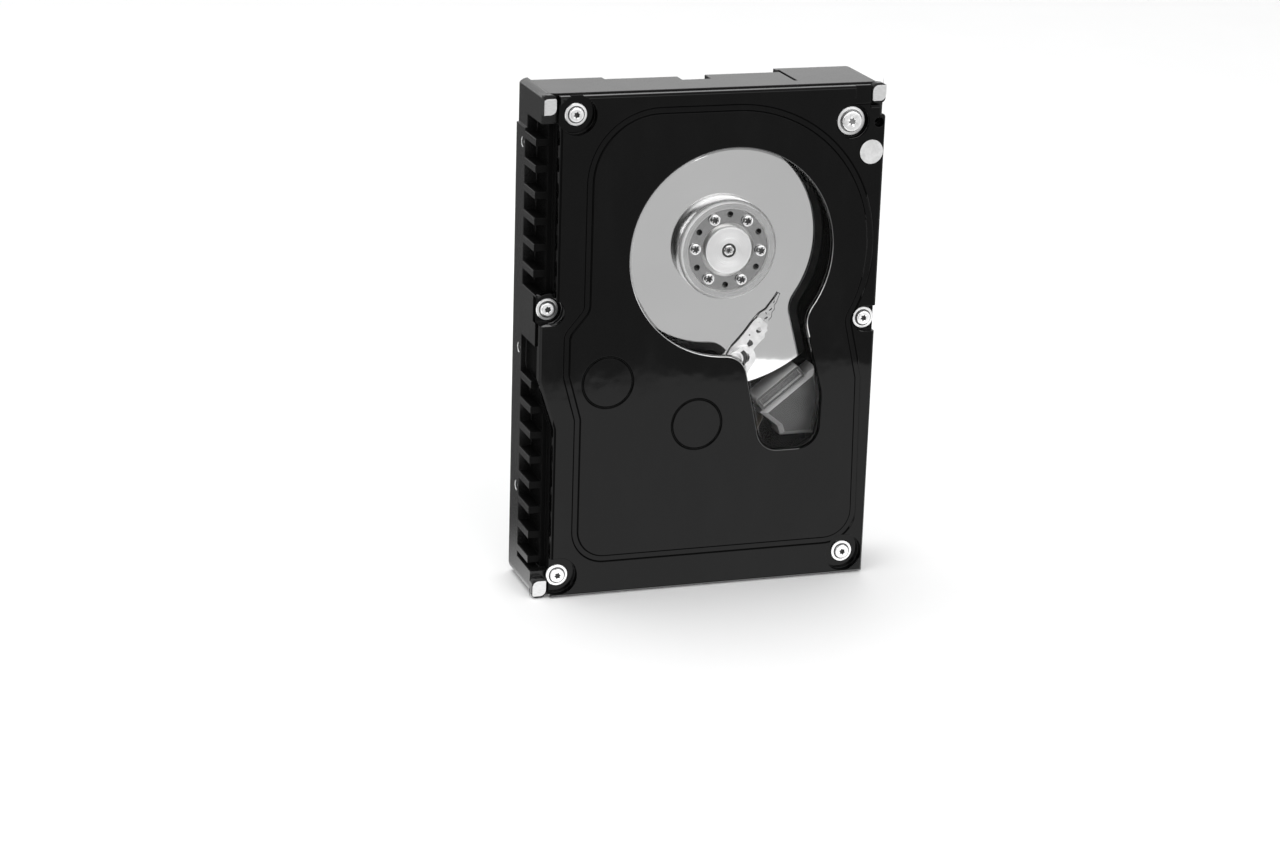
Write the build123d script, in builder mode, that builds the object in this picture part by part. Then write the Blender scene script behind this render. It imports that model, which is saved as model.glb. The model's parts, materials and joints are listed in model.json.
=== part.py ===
from build123d import *
import os
from math import cos, radians, sin

# A 3.5-inch hard disk drive with a window in its cover, as separate pieces, in millimetres.
#
# The drive stands upright on its connector end.  X runs across it, to the right as seen from the
# cover.  Y runs through it, from the cover to the circuit board.  Z runs up along its length.
# "Height" below always means the distance from the underside (the board side) towards the cover.

# ---- Case -----------------------------------------------------------------------------------------
# The outside follows from the disks, the clearance round them and the walls.  With these sizes it is
# the 3.5-inch form factor: 101.6 wide, 147.0 long and 26.1 thick.
drive_thickness = 26.1
side_wall = 2.1
end_wall = 4.3
disk_clearance = 0.8

side_hole_height = 6.35
side_hole_z = (28.5, 70.1, 130.1)
side_hole_depth = 3.8
bottom_hole_inset = 3.175
bottom_hole_z = (41.28, 85.73)
bottom_hole_depth = 5.0
mount_hole_radius = 1.45

# ---- Cover, window and seal ---------------------------------------------------------------------
cover_plate = 1.4
cover_rim = 3.2
cover_bevel = 0.6
cover_inset = 5.1
cover_side_gap = 0.2
cover_end_gap = 0.4
bulge_inset = 0.5
groove_width = 1.5
groove_depth = 0.35
ring_groove_radius = 7.45
gasket_thickness = 0.5
gasket_width = 1.2
wall_gap = 0.9
lens_thickness = 1.1
bond_thickness = 0.3
bond_width = 2.2
window_radius = 30.35
window_bevel = 0.25
lens_bevel = 0.5
lens_recess = 0.1
lens_gap = 0.05

# ---- Disk pack, about the spindle axis ----------------------------------------------------------
spindle_x = 5.9
platter_radius = 42.0
platter_bore = 12.5
platter_thickness = 0.8
platter_pitch = 3.4
platter_drop = 8.0
clamp_radius = 14.6
clamp_height = 4.8
clamp_bore = 7.8
clamp_recess_radius = 11.8
clamp_recess_depth = 1.0
clamp_screw_circle = 9.9
cap_radius = 6.9

# ---- Actuator, about the pivot axis -------------------------------------------------------------
pivot_x = -3.0
pivot_z = 49.8
block_radius = 8.6
block_margin = 0.5
arm_reach = 23.4
arm_angle = 46.7
beam_length = 20.5
beam_angle = 60.8
swing_angle = 22.8
slider_height = 0.35
fly_gap = 0.05
beam_thickness = 0.25
arm_floor_gap = 0.75
coil_thickness = 2.4
magnet_thickness = 1.4
magnet_gap = 0.5
coil_inner = 14.0
coil_outer = 32.0
coil_half_angle = 15.0
coil_wall = 1.3

# ---- Fits ----------------------------------------------------------------------------------------
snug = 0.02
running = 0.03
clear = 0.3
thread_slack = 0.05

# ---- Heights of the stack, worked out from the sizes above ----------------------------------------
cover_seat = drive_thickness - cover_rim
rim_top = cover_seat - gasket_thickness
plate_underside = drive_thickness - cover_plate
lens_top = plate_underside - bond_thickness
lens_bottom = lens_top - lens_thickness
upper_platter_top = drive_thickness - platter_drop
lower_platter_top = upper_platter_top - platter_pitch
hub_shelf = lower_platter_top - platter_thickness
head_reach = fly_gap + slider_height + beam_thickness
arm_thickness = platter_pitch - platter_thickness - 2 * head_reach
stack_bottom = hub_shelf - head_reach - arm_thickness
stack_top = upper_platter_top + head_reach + arm_thickness
chamber_floor = stack_bottom - arm_floor_gap
coil_middle = (stack_bottom + stack_top) / 2
coil_bottom = coil_middle - coil_thickness / 2
coil_top = coil_middle + coil_thickness / 2
lower_magnet_bottom = coil_bottom - magnet_gap - magnet_thickness
upper_magnet_bottom = coil_top + magnet_gap
yoke_thickness = lower_magnet_bottom - chamber_floor
upper_yoke_bottom = upper_magnet_bottom + magnet_thickness

# ---- Places and outside, worked out from the sizes above -------------------------------------------
spindle_z = pivot_z + platter_radius + block_radius - block_margin
drive_length = spindle_z + platter_radius + disk_clearance + end_wall
half_width = spindle_x + platter_radius + disk_clearance + side_wall
drive_width = 2 * half_width
spindle = (spindle_x, spindle_z)
pivot = (pivot_x, pivot_z)
park_angle = 53.6
coil_rest_angle = park_angle + 180
coil_mid_angle = coil_rest_angle - swing_angle / 2


def level(height, center=(0, 0), angle=0):
    """Plane parallel to the cover at a height, seen from the cover, with its x axis turned by angle."""
    turn = radians(angle)
    return Plane(
        origin=(center[0], drive_thickness / 2 - height, center[1]),
        x_dir=(cos(turn), 0, sin(turn)),
        z_dir=(0, -1, 0),
    )


def polar(center, radius, angle):
    """Point at a radius and an angle from a centre."""
    return (center[0] + radius * cos(radians(angle)), center[1] + radius * sin(radians(angle)))


def hull(*circles):
    """Outline stretched round circles, each given as (x, y, radius)."""
    with BuildSketch(Plane.XY, mode=Mode.PRIVATE) as outline:
        for x, y, radius in circles:
            with Locations((x, y)):
                Circle(radius)
        make_hull()
    return outline.sketch


def sector(inner, outer, half_angle, corner=0.0):
    """Part of a flat ring, centred on the x axis, with rounded corners."""
    with BuildSketch(Plane.XY, mode=Mode.PRIVATE) as outline:
        with BuildLine():
            far = CenterArc((0, 0), outer, -half_angle, 2 * half_angle)
            near = CenterArc((0, 0), inner, -half_angle, 2 * half_angle)
            Line(far @ 0, near @ 0)
            Line(far @ 1, near @ 1)
        make_face()
        if corner:
            fillet(outline.vertices(), radius=corner)
    return outline.sketch


def star(radius):
    """Six-lobed driver recess."""
    points = []
    for step in range(12):
        reach = radius if step % 2 == 0 else 0.62 * radius
        points.append(polar((0, 0), reach, 30 * step))
    with BuildSketch(Plane.XY, mode=Mode.PRIVATE) as outline:
        Polygon(*points, align=None)
    return outline.sketch


def leaf(center, width, length):
    """Rectangle with two opposite corners rounded widely and the other two a little."""
    with BuildSketch(Plane.XY, mode=Mode.PRIVATE) as outline:
        with Locations(center):
            Rectangle(width, length)
        corners = outline.vertices()
        wide = [spot for spot in corners if (spot.X - center[0]) * (spot.Y - center[1]) < 0]
        fillet(wide, radius=0.45 * width)
        for side in (-1, 1):
            narrow = (center[0] + side * width / 2, center[1] + side * length / 2)
            fillet(outline.vertices().sort_by_distance(narrow)[0], radius=0.5)
    return outline.sketch


# ---- Shared outlines ------------------------------------------------------------------------------
panel_radius = platter_radius + disk_clearance - wall_gap
panel_bottom = 11.0


def panel_outline(growth):
    """Outline of the cover's raised panel, which follows the disk chamber, grown by a distance."""
    panel_left = spindle_x - panel_radius - 0.7
    bay_left = 12.0 - half_width
    boss_left = 8.4 - half_width
    bay_right = half_width - 3.8
    corner_points = [
        (panel_left, spindle_z + panel_radius),
        (spindle_x, spindle_z + panel_radius),
        (spindle_x, spindle_z),
        (spindle_x + 0.85 * panel_radius, spindle_z - 0.463 * panel_radius),
        (bay_right - 0.8, pivot_z + 10.7),
        (bay_right, panel_bottom),
        (bay_left, panel_bottom),
        (bay_left, pivot_z + 3.7),
        (boss_left, pivot_z + 16.7),
        (boss_left, spindle_z - 21.4),
        (panel_left, spindle_z - 14.4),
    ]
    corner_radii = {0: 20.3, 5: 9.0, 6: 9.0}
    with BuildSketch(Plane.XY, mode=Mode.PRIVATE) as outline:
        Polygon(*corner_points, align=None)
        for index, radius in corner_radii.items():
            corner = outline.vertices().sort_by_distance(corner_points[index])[0]
            fillet(corner, radius=radius)
        with Locations(spindle):
            Circle(panel_radius)
        waist = outline.vertices().sort_by_distance(corner_points[3])[0]
        fillet(waist, radius=5)
        for point in corner_points[7:]:
            corner = outline.vertices().sort_by_distance(point)[0]
            fillet(corner, radius=4)
        if growth:
            offset(amount=growth, kind=Kind.INTERSECTION)
    return outline.sketch


def window_outline(growth):
    """Outline of the window: a circle over the disks with a lobe over the actuator, grown."""
    lobe_bottom = pivot_z - 9.6
    lobe = [
        (spindle_x + 21.7, spindle_z - 15.9),
        (pivot_x + 37.9, pivot_z + 6.7),
        (pivot_x + 37.6, lobe_bottom),
        (pivot_x + 20.0, lobe_bottom),
        (spindle_x + 3.1, spindle_z - 23.9),
    ]
    with BuildSketch(Plane.XY, mode=Mode.PRIVATE) as outline:
        Polygon(*lobe, align=None)
        for point in lobe[2:4]:
            corner = outline.vertices().sort_by_distance(point)[0]
            fillet(corner, radius=6.5)
        corner = outline.vertices().sort_by_distance(lobe[1])[0]
        fillet(corner, radius=12)
        with Locations(spindle):
            Circle(window_radius)
        right_neck = (spindle_x + 22.6, spindle_z - 19.9)
        left_neck = (spindle_x + 5.1, spindle_z - 29.9)
        fillet(outline.vertices().sort_by_distance(right_neck)[0], radius=8)
        fillet(outline.vertices().sort_by_distance(left_neck)[0], radius=7)
        if growth:
            offset(amount=growth)
    return outline.sketch


def ring(bottom, height, outer, inner, center):
    """Flat ring about an axis parallel to the spindle."""
    with BuildPart(mode=Mode.PRIVATE) as body:
        with BuildSketch(level(bottom, center)):
            Circle(outer)
            if inner:
                Circle(inner, mode=Mode.SUBTRACT)
        extrude(amount=height)
    return body.part


def turned(center, *profile):
    """Solid turned about an axis parallel to the spindle, from (radius, height) points."""
    origin = level(0, center).origin
    with BuildPart(mode=Mode.PRIVATE) as body:
        with BuildSketch(Plane(origin=origin, x_dir=(1, 0, 0), z_dir=(0, 0, -1))):
            Polygon(*profile, align=None)
        revolve(axis=Axis(origin, (0, -1, 0)))
    return body.part


def finish(name, piece):
    """Label a piece and write its file, named after its node."""
    piece.part.label = name
    export_step(piece.part, f"parts/{name}.step")


os.makedirs("parts", exist_ok=True)
chamber_outline = panel_outline(wall_gap)
gasket_inside = panel_outline(wall_gap + 0.5)
gasket_outside = panel_outline(wall_gap + 0.5 + gasket_width)
groove_inside = panel_outline(-groove_width / 2)
groove_outside = panel_outline(groove_width / 2)
window_opening = window_outline(0)
lens_outline = window_outline(bond_width)
lens_plug = window_outline(-lens_gap)

# ===================================================================================================
# Cover, its fasteners and the window
# ===================================================================================================
cover_right = half_width - cover_side_gap
cover_top_z = drive_length - cover_end_gap
cover_bottom_z = cover_end_gap
corner_pad = 4.8
pad_z = drive_length - corner_pad - 0.9

# Screws: (x, z) of each, with the height of the cover's face under its head.
screw_seat = drive_thickness - 2.2
deep_screw_seat = drive_thickness - 5.2
tab_thickness = 1.0
bottom_screw_z = 6.6
shallow_screws = [
    (9.9 - half_width, drive_length - 5.7),
    (half_width - 3.5, spindle_z - 21.7),
    (7.4 - half_width, bottom_screw_z),
    (half_width - 6.4, bottom_screw_z),
]
deep_screw = (3.7 - half_width, spindle_z - 14.6)
lock_screw = (half_width - 10.2, drive_length - 10.6)
driver_recess = 0.8
flange_height = 0.6
screw_head_radius = 3.2
screw_head_height = 1.5
screw_radius = 1.5
screw_reach = 4.6
pocket_radius = 3.8
lock_head_radius = 4.2
lock_head_height = 1.7
foil_center = (half_width - 4.1, drive_length - 19.5)
foil_radius = 3.5
foil_thickness = 0.1
vent_center = (half_width - 2.2, drive_length - 11.0)
breather_center = (pivot_x - 27.1, pivot_z + 14.2)


def cover_outline():
    """Outline of the cover: a slab with a bulge at the left screw and clipped corners."""
    left_edge = cover_inset - half_width
    bulge_edge = bulge_inset - half_width
    pad_edge = half_width - corner_pad + 0.2
    notch_edge = half_width - 1.5
    notch_bottom = drive_length - 8.8
    outline_points = [
        (left_edge, cover_top_z),
        (pad_edge, cover_top_z),
        (pad_edge, pad_z - 0.4),
        (notch_edge, pad_z - 0.4),
        (notch_edge, notch_bottom),
        (cover_right, notch_bottom),
        (cover_right, cover_bottom_z),
        (left_edge, cover_bottom_z),
        (left_edge, pivot_z + 1.2),
        (bulge_edge, pivot_z + 15.2),
        (bulge_edge, deep_screw[1]),
        (left_edge, deep_screw[1]),
    ]
    rounded = {3: 0.6, 4: 0.4, 5: 0.8, 8: 4.0, 9: 4.0}
    with BuildSketch(Plane.XY, mode=Mode.PRIVATE) as outline:
        Polygon(*outline_points, align=None)
        for index, radius in rounded.items():
            fillet(outline.vertices().sort_by_distance(outline_points[index])[0], radius=radius)
    return outline.sketch


cover_plan = cover_outline()

with BuildPart() as top_cover:
    with BuildSketch(level(cover_seat)):
        add(cover_plan)
    extrude(amount=cover_rim)
    chamfer(top_cover.faces().sort_by(Axis.Y)[0].outer_wire().edges(), length=cover_bevel)
    # Tab that drops to the boss of the deep screw, at the left edge.
    with BuildSketch(level(deep_screw_seat - tab_thickness)):
        with Locations(deep_screw):
            Circle(pocket_radius + 1.2)
        with Locations((bulge_inset - half_width, deep_screw[1])):
            Rectangle(10, 20, align=(Align.MAX, Align.CENTER), mode=Mode.SUBTRACT)
    extrude(amount=cover_seat + 0.5 - deep_screw_seat + tab_thickness)
    # The panel line, a groove with sloping sides.
    with BuildSketch(level(drive_thickness - groove_depth)):
        add(groove_outside)
        add(groove_inside, mode=Mode.SUBTRACT)
    extrude(amount=groove_depth, mode=Mode.SUBTRACT)
    top_faces = top_cover.faces().filter_by_position(
        Axis.Y, -drive_thickness / 2 - 0.01, -drive_thickness / 2 + 0.01
    )
    border, panel = top_faces.sort_by(SortBy.AREA)[-2:]
    if panel.inner_wires():
        border, panel = panel, border
    chamfer(border.inner_wires()[0].edges() + panel.outer_wire().edges(), length=groove_depth - 0.05)
    # Two ring grooves.
    for center in (breather_center, pivot):
        add(
            turned(
                center,
                (ring_groove_radius - groove_depth, drive_thickness),
                (ring_groove_radius, drive_thickness - groove_depth),
                (ring_groove_radius + groove_depth, drive_thickness),
            ),
            mode=Mode.SUBTRACT,
        )
    # Cavity over the disk chamber.
    with BuildSketch(level(cover_seat)):
        add(chamber_outline)
    extrude(amount=plate_underside - cover_seat, mode=Mode.SUBTRACT)
    # Window, with its bevelled edge.
    with BuildSketch(level(plate_underside)):
        add(window_opening)
    extrude(amount=cover_plate, mode=Mode.SUBTRACT)
    with BuildSketch(level(drive_thickness - window_bevel)):
        add(window_opening)
    extrude(amount=window_bevel, taper=-45, mode=Mode.SUBTRACT)
    # Recesses round the screws, open to the edges of the cover.
    with BuildSketch(level(screw_seat)):
        with Locations(shallow_screws[0], *shallow_screws[2:]):
            Circle(5.6)
        with Locations(shallow_screws[1]):
            Circle(pocket_radius)
            Rectangle(10, 2 * pocket_radius, align=(Align.MIN, Align.CENTER))
        with Locations(lock_screw):
            Circle(lock_head_radius + 0.7)
    extrude(amount=drive_thickness - screw_seat, mode=Mode.SUBTRACT)
    with BuildSketch(level(deep_screw_seat)):
        with Locations(deep_screw):
            Circle(pocket_radius)
            Rectangle(10, 2 * pocket_radius, align=(Align.MAX, Align.CENTER))
    extrude(amount=drive_thickness - deep_screw_seat, mode=Mode.SUBTRACT)
    with BuildSketch(level(drive_thickness - 1.2)):
        with Locations((lock_screw[0] + 0.6, cover_top_z + 1)):
            Rectangle(20, 6.2, align=(Align.MIN, Align.MAX))
    extrude(amount=1.2, mode=Mode.SUBTRACT)
    # Screw holes, the vent hole and the seat of the foil.
    with BuildSketch(level(deep_screw_seat - tab_thickness)):
        with Locations(*shallow_screws, lock_screw, deep_screw):
            Circle(screw_radius + 0.15)
        with Locations(vent_center):
            Circle(1.4)
    extrude(amount=drive_thickness, mode=Mode.SUBTRACT)
    with BuildSketch(level(drive_thickness - foil_thickness - 0.05)):
        with Locations(foil_center):
            Circle(foil_radius + 0.1)
    extrude(amount=foil_thickness + 0.05, mode=Mode.SUBTRACT)
finish("top_cover", top_cover)

with BuildPart() as window_bond:
    with BuildSketch(level(lens_top)):
        add(lens_outline)
        add(window_opening, mode=Mode.SUBTRACT)
    extrude(amount=bond_thickness)
finish("window_bond", window_bond)

with BuildPart() as window_lens:
    with BuildSketch(level(lens_bottom)):
        add(lens_outline)
    extrude(amount=lens_thickness)
    # The middle stands up through the opening, almost flush, with a bevelled edge.
    with BuildSketch(level(lens_top)):
        add(lens_plug)
    extrude(amount=drive_thickness - lens_recess - lens_top)
    chamfer(window_lens.faces().sort_by(Axis.Y)[0].outer_wire().edges(), length=lens_bevel)
finish("window_lens", window_lens)

with BuildPart() as cover_gasket:
    with BuildSketch(level(rim_top)):
        add(gasket_outside)
        add(gasket_inside, mode=Mode.SUBTRACT)
    extrude(amount=gasket_thickness)
finish("cover_gasket", cover_gasket)

with BuildPart() as foil_seal:
    with BuildSketch(level(drive_thickness - foil_thickness - 0.05, foil_center)):
        Circle(foil_radius)
    extrude(amount=foil_thickness)
finish("foil_seal", foil_seal)


def screw(seat, place, head_radius, head_height, shank_radius, reach, recess=0, flange=0):
    """Pan-head screw standing on its seat, with a star recess and a flange where they are given."""
    crown = seat + head_height
    brim = [(head_radius, seat + flange), (0.84 * head_radius, seat + flange)] if flange else []
    with BuildPart(mode=Mode.PRIVATE) as body:
        add(
            turned(
                place,
                (0, seat - reach),
                (shank_radius, seat - reach),
                (shank_radius, seat),
                (head_radius, seat),
                *brim,
                (0.74 * head_radius, crown),
                (0, crown),
            )
        )
        if recess:
            with BuildSketch(level(crown, place)):
                add(star(recess))
            extrude(amount=-0.6 * head_height, mode=Mode.SUBTRACT)
    return body.part


def underside_screw(seat, place, head_radius, head_height, shank_radius, reach):
    """Screw driven in from the underside, with its flat head below the seat."""
    return turned(
        place,
        (0, seat - head_height),
        (head_radius, seat - head_height),
        (head_radius, seat),
        (shank_radius, seat),
        (shank_radius, seat + reach),
        (0, seat + reach),
    )


with BuildPart() as cover_screws:
    head = (screw_head_radius, screw_head_height, screw_radius, screw_reach, driver_recess, flange_height)
    for place in shallow_screws:
        add(screw(screw_seat, place, *head))
    add(screw(deep_screw_seat, deep_screw, *head))
finish("cover_screws", cover_screws)

with BuildPart() as lock_fastener:
    head = (lock_head_radius, lock_head_height, screw_radius, screw_reach, driver_recess, flange_height)
    add(screw(screw_seat, lock_screw, *head))
finish("lock_screw", lock_fastener)

desiccant_height = 5.0
with BuildPart() as desiccant_pack:
    with BuildSketch(level(plate_underside - desiccant_height, breather_center)):
        Circle(ring_groove_radius - 0.6)
    extrude(amount=desiccant_height)
finish("desiccant_pack", desiccant_pack)

# ===================================================================================================
# Spindle motor and disk pack
# ===================================================================================================
shaft_radius = 2.5
sleeve_radius = 5.6
flange_radius = 20.2
flange_bottom = 2.6
flange_thickness = 2.4
flange_top = flange_bottom + flange_thickness
well_radius = 17.0
hub_cup_radius = 16.0
hub_cup_bottom = flange_top + 1.2
magnet_ring_outer = 14.4
magnet_ring_inner = 12.8
stator_gap = 0.3
stator_radius = magnet_ring_inner - stator_gap
winding_height = 0.9
stator_bottom = flange_top + winding_height + 1.5
hub_web_bottom = hub_shelf - 1.6
stator_thickness = hub_web_bottom - 1.0 - winding_height - stator_bottom
tooth_count = 9
hub_top = upper_platter_top + 2.1
clamp_top = upper_platter_top + clamp_height
cap_thickness = 0.75
cap_top = clamp_top + 0.15
sleeve_top = hub_top - 3.2
flange_screw_circle = 18.6

with BuildPart() as motor_flange:
    add(ring(flange_bottom, flange_thickness, flange_radius, sleeve_radius + snug, spindle))
    add(ring(flange_top, stator_bottom - flange_top, sleeve_radius + 2, sleeve_radius + snug, spindle))
    with BuildSketch(level(flange_bottom, spindle)):
        with PolarLocations(flange_screw_circle, 4, start_angle=45):
            Circle(1.05)
    extrude(amount=flange_thickness, mode=Mode.SUBTRACT)
    chamfer(motor_flange.faces().sort_by(Axis.Y)[-1].outer_wire().edges(), length=0.4)
finish("motor_flange", motor_flange)

with BuildPart() as flange_screws:
    for step in range(4):
        place = polar(spindle, flange_screw_circle, 45 + 90 * step)
        add(underside_screw(flange_bottom, place, 1.5, 1.0, 0.95, flange_thickness + 2.6))
finish("flange_screws", flange_screws)

with BuildPart() as bearing_sleeve:
    add(
        ring(
            flange_bottom + 1.0,
            sleeve_top - flange_bottom - 1.0,
            sleeve_radius,
            shaft_radius + running,
            spindle,
        )
    )
finish("bearing_sleeve", bearing_sleeve)

with BuildPart() as thrust_cap:
    add(ring(flange_bottom, 0.9, sleeve_radius, 0, spindle))
finish("thrust_cap", thrust_cap)

with BuildPart() as stator_core:
    with BuildSketch(level(stator_bottom, spindle)):
        Circle(sleeve_radius + 2)
        with PolarLocations(0, tooth_count):
            Rectangle(stator_radius - 0.4, 1.2, align=(Align.MIN, Align.CENTER))
            add(sector(stator_radius - 1.1, stator_radius, 15))
        Circle(sleeve_radius + snug, mode=Mode.SUBTRACT)
    extrude(amount=stator_thickness)
finish("stator_core", stator_core)

with BuildPart() as stator_coils:
    with BuildSketch(level(stator_bottom - winding_height, spindle)):
        with PolarLocations(0, tooth_count):
            with Locations(((sleeve_radius + 2 + stator_radius - 1.1) / 2, 0)):
                Rectangle(stator_radius - sleeve_radius - 3.5, 3.2)
    extrude(amount=stator_thickness + 2 * winding_height)
    with BuildSketch(level(stator_bottom, spindle)):
        with PolarLocations(0, tooth_count):
            Rectangle(stator_radius, 1.2 + 2 * snug, align=(Align.MIN, Align.CENTER))
    extrude(amount=stator_thickness, mode=Mode.SUBTRACT)
finish("stator_coils", stator_coils)

with BuildPart() as rotor_hub:
    post_top = cap_top - cap_thickness
    add(
        turned(
            spindle,
            (hub_cup_radius, hub_cup_bottom),
            (hub_cup_radius, hub_shelf),
            (platter_bore - snug, hub_shelf),
            (platter_bore - snug, hub_top),
            (cap_radius - 0.3, hub_top),
            (cap_radius - 0.3, post_top),
            (shaft_radius + snug, post_top),
            (shaft_radius + snug, sleeve_top + clear),
            (sleeve_radius + 0.5, sleeve_top + clear),
            (sleeve_radius + 0.5, hub_web_bottom),
            (magnet_ring_outer + snug, hub_web_bottom),
            (magnet_ring_outer + snug, hub_cup_bottom),
        )
    )
    with BuildSketch(level(hub_top, spindle)):
        with PolarLocations(clamp_screw_circle, 6, start_angle=-4):
            Circle(0.9 + snug)
    extrude(amount=-3.0, mode=Mode.SUBTRACT)
finish("rotor_hub", rotor_hub)

with BuildPart() as rotor_magnet:
    add(
        ring(
            hub_cup_bottom + 0.4,
            hub_web_bottom - hub_cup_bottom - 0.5,
            magnet_ring_outer,
            magnet_ring_inner,
            spindle,
        )
    )
finish("rotor_magnet", rotor_magnet)

with BuildPart() as spindle_shaft:
    shaft_bottom = flange_bottom + 1.1
    add(ring(shaft_bottom, post_top - shaft_bottom, shaft_radius, 0, spindle))
    with BuildSketch(level(post_top, spindle)):
        Circle(1.1 + snug)
    extrude(amount=-4.0, mode=Mode.SUBTRACT)
finish("spindle_shaft", spindle_shaft)

for name, top in (("lower_platter", lower_platter_top), ("upper_platter", upper_platter_top)):
    with BuildPart() as platter:
        add(ring(top - platter_thickness, platter_thickness, platter_radius, platter_bore, spindle))
        rims = platter.edges().filter_by(lambda edge: edge.length > 6 * platter_bore + platter_radius)
        chamfer(rims, length=0.15)
    finish(name, platter)

with BuildPart() as spacer_ring:
    spacer_height = platter_pitch - platter_thickness
    add(ring(lower_platter_top, spacer_height, clamp_radius + 0.8, platter_bore, spindle))
finish("spacer_ring", spacer_ring)

clamp_floor = clamp_top - clamp_recess_depth
with BuildPart() as disk_clamp:
    add(
        turned(
            spindle,
            (clamp_bore, hub_top + 0.1),
            (platter_bore + 0.3, hub_top + 0.1),
            (platter_bore + 0.3, upper_platter_top),
            (clamp_radius, upper_platter_top),
            (clamp_radius, clamp_top - 0.9),
            (clamp_radius - 0.5, clamp_top - 0.3),
            (clamp_radius - 0.9, clamp_top),
            (clamp_recess_radius + 0.4, clamp_top),
            (clamp_recess_radius, clamp_floor),
            (clamp_bore, clamp_floor),
        )
    )
    with BuildSketch(level(clamp_floor, spindle)):
        with PolarLocations(clamp_screw_circle, 6, start_angle=-4):
            Circle(1.05)
        with PolarLocations(clamp_screw_circle + 0.4, 6, start_angle=28):
            Circle(0.9)
    extrude(amount=hub_top - clamp_floor, mode=Mode.SUBTRACT)
finish("disk_clamp", disk_clamp)

with BuildPart() as clamp_screws:
    for step in range(6):
        place = polar(spindle, clamp_screw_circle, -4 + 60 * step)
        add(screw(clamp_floor, place, 1.75, 0.9, 0.9, clamp_floor - hub_top + 2.5, 0.7))
finish("clamp_screws", clamp_screws)

with BuildPart() as spindle_cap:
    add(ring(post_top, cap_thickness, cap_radius, 1.2, spindle))
    chamfer(spindle_cap.faces().sort_by(Axis.Y)[0].outer_wire().edges(), length=0.2)
    with BuildSketch(level(cap_top - 0.4, spindle)):
        Circle(2.1)
    extrude(amount=0.4, mode=Mode.SUBTRACT)
finish("spindle_cap", spindle_cap)

with BuildPart() as cap_screw:
    with BuildSketch(level(cap_top - 0.4, spindle)):
        Circle(2.0)
    extrude(amount=0.35)
    with BuildSketch(level(cap_top - 0.4, spindle)):
        Circle(1.1)
    extrude(amount=-3.5)
    with BuildSketch(level(cap_top - 0.05, spindle)):
        add(star(1.3))
    extrude(amount=-0.8, mode=Mode.SUBTRACT)
finish("cap_screw", cap_screw)

# ===================================================================================================
# Actuator
# ===================================================================================================
post_radius = 3.0
bearing_radius = 5.2
bearing_width = 2.5
sleeve_outer = 6.3
arm_root_half_width = 7.5
arm_tip_radius = 3.4
swage_radius = 1.6
stack_height = stack_top - stack_bottom
frame_inner = coil_inner - 1.5
frame_outer = coil_outer + coil_wall
frame_half_angle = coil_half_angle + 2.2
swage = polar(pivot, arm_reach, arm_angle)
head_tip = polar(swage, beam_length, beam_angle)
arm_bottoms = (stack_bottom, lower_platter_top + head_reach, upper_platter_top + head_reach)

with BuildPart() as arm_block:
    with BuildSketch(level(stack_bottom, pivot)):
        Circle(block_radius)
    extrude(amount=stack_height)
    for bottom in arm_bottoms:
        with BuildSketch(level(bottom)):
            add(hull((*pivot, arm_root_half_width), (*swage, arm_tip_radius)))
            with Locations(polar(pivot, 0.66 * arm_reach, arm_angle)):
                Circle(0.6 * arm_tip_radius, mode=Mode.SUBTRACT)
            with Locations(swage):
                Circle(swage_radius, mode=Mode.SUBTRACT)
        extrude(amount=arm_thickness)
    with BuildSketch(level(coil_bottom, pivot, coil_rest_angle)):
        add(sector(4.0, frame_inner - snug, frame_half_angle + 6))
    extrude(amount=coil_thickness)
    with BuildSketch(level(stack_bottom, pivot)):
        Circle(sleeve_outer + snug)
    extrude(amount=stack_height, mode=Mode.SUBTRACT)
finish("arm_block", arm_block)

with BuildPart() as pivot_sleeve:
    add(ring(stack_bottom, stack_height, sleeve_outer, bearing_radius + snug, pivot))
finish("pivot_sleeve", pivot_sleeve)

with BuildPart() as pivot_bearings:
    for bottom in (stack_bottom + 0.1, stack_top - 0.1 - bearing_width):
        add(ring(bottom, bearing_width, bearing_radius, post_radius + running, pivot))
finish("pivot_bearings", pivot_bearings)

with BuildPart() as pivot_post:
    add(
        turned(
            pivot,
            (0, chamber_floor - 4.0),
            (2.0, chamber_floor - 4.0),
            (2.0, chamber_floor),
            (post_radius + 1.2, chamber_floor),
            (post_radius + 1.2, stack_bottom - 0.1),
            (post_radius, stack_bottom - 0.1),
            (post_radius, stack_top + 0.2),
            (1.3, stack_top + 0.2),
            (1.3, stack_top - 4.0),
            (0, stack_top - 4.0),
        )
    )
finish("pivot_post", pivot_post)

with BuildPart() as pivot_screw:
    add(screw(stack_top + 0.2, pivot, post_radius + 1.4, 1.2, 1.25, 3.6))
finish("pivot_screw", pivot_screw)

with BuildPart() as voice_coil:
    with BuildSketch(level(coil_bottom, pivot, coil_rest_angle)):
        add(sector(coil_inner, coil_outer, coil_half_angle, 1.6))
        add(sector(coil_inner + 4, coil_outer - 4, coil_half_angle - 7, 0.8), mode=Mode.SUBTRACT)
    extrude(amount=coil_thickness)
finish("voice_coil", voice_coil)

with BuildPart() as coil_frame:
    with BuildSketch(level(coil_bottom, pivot, coil_rest_angle)):
        add(sector(frame_inner, frame_outer, frame_half_angle, 1.2))
        opening = sector(coil_inner - snug, coil_outer + snug, coil_half_angle + 0.08, 1.6)
        add(opening, mode=Mode.SUBTRACT)
    extrude(amount=coil_thickness)
finish("coil_frame", coil_frame)

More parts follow.
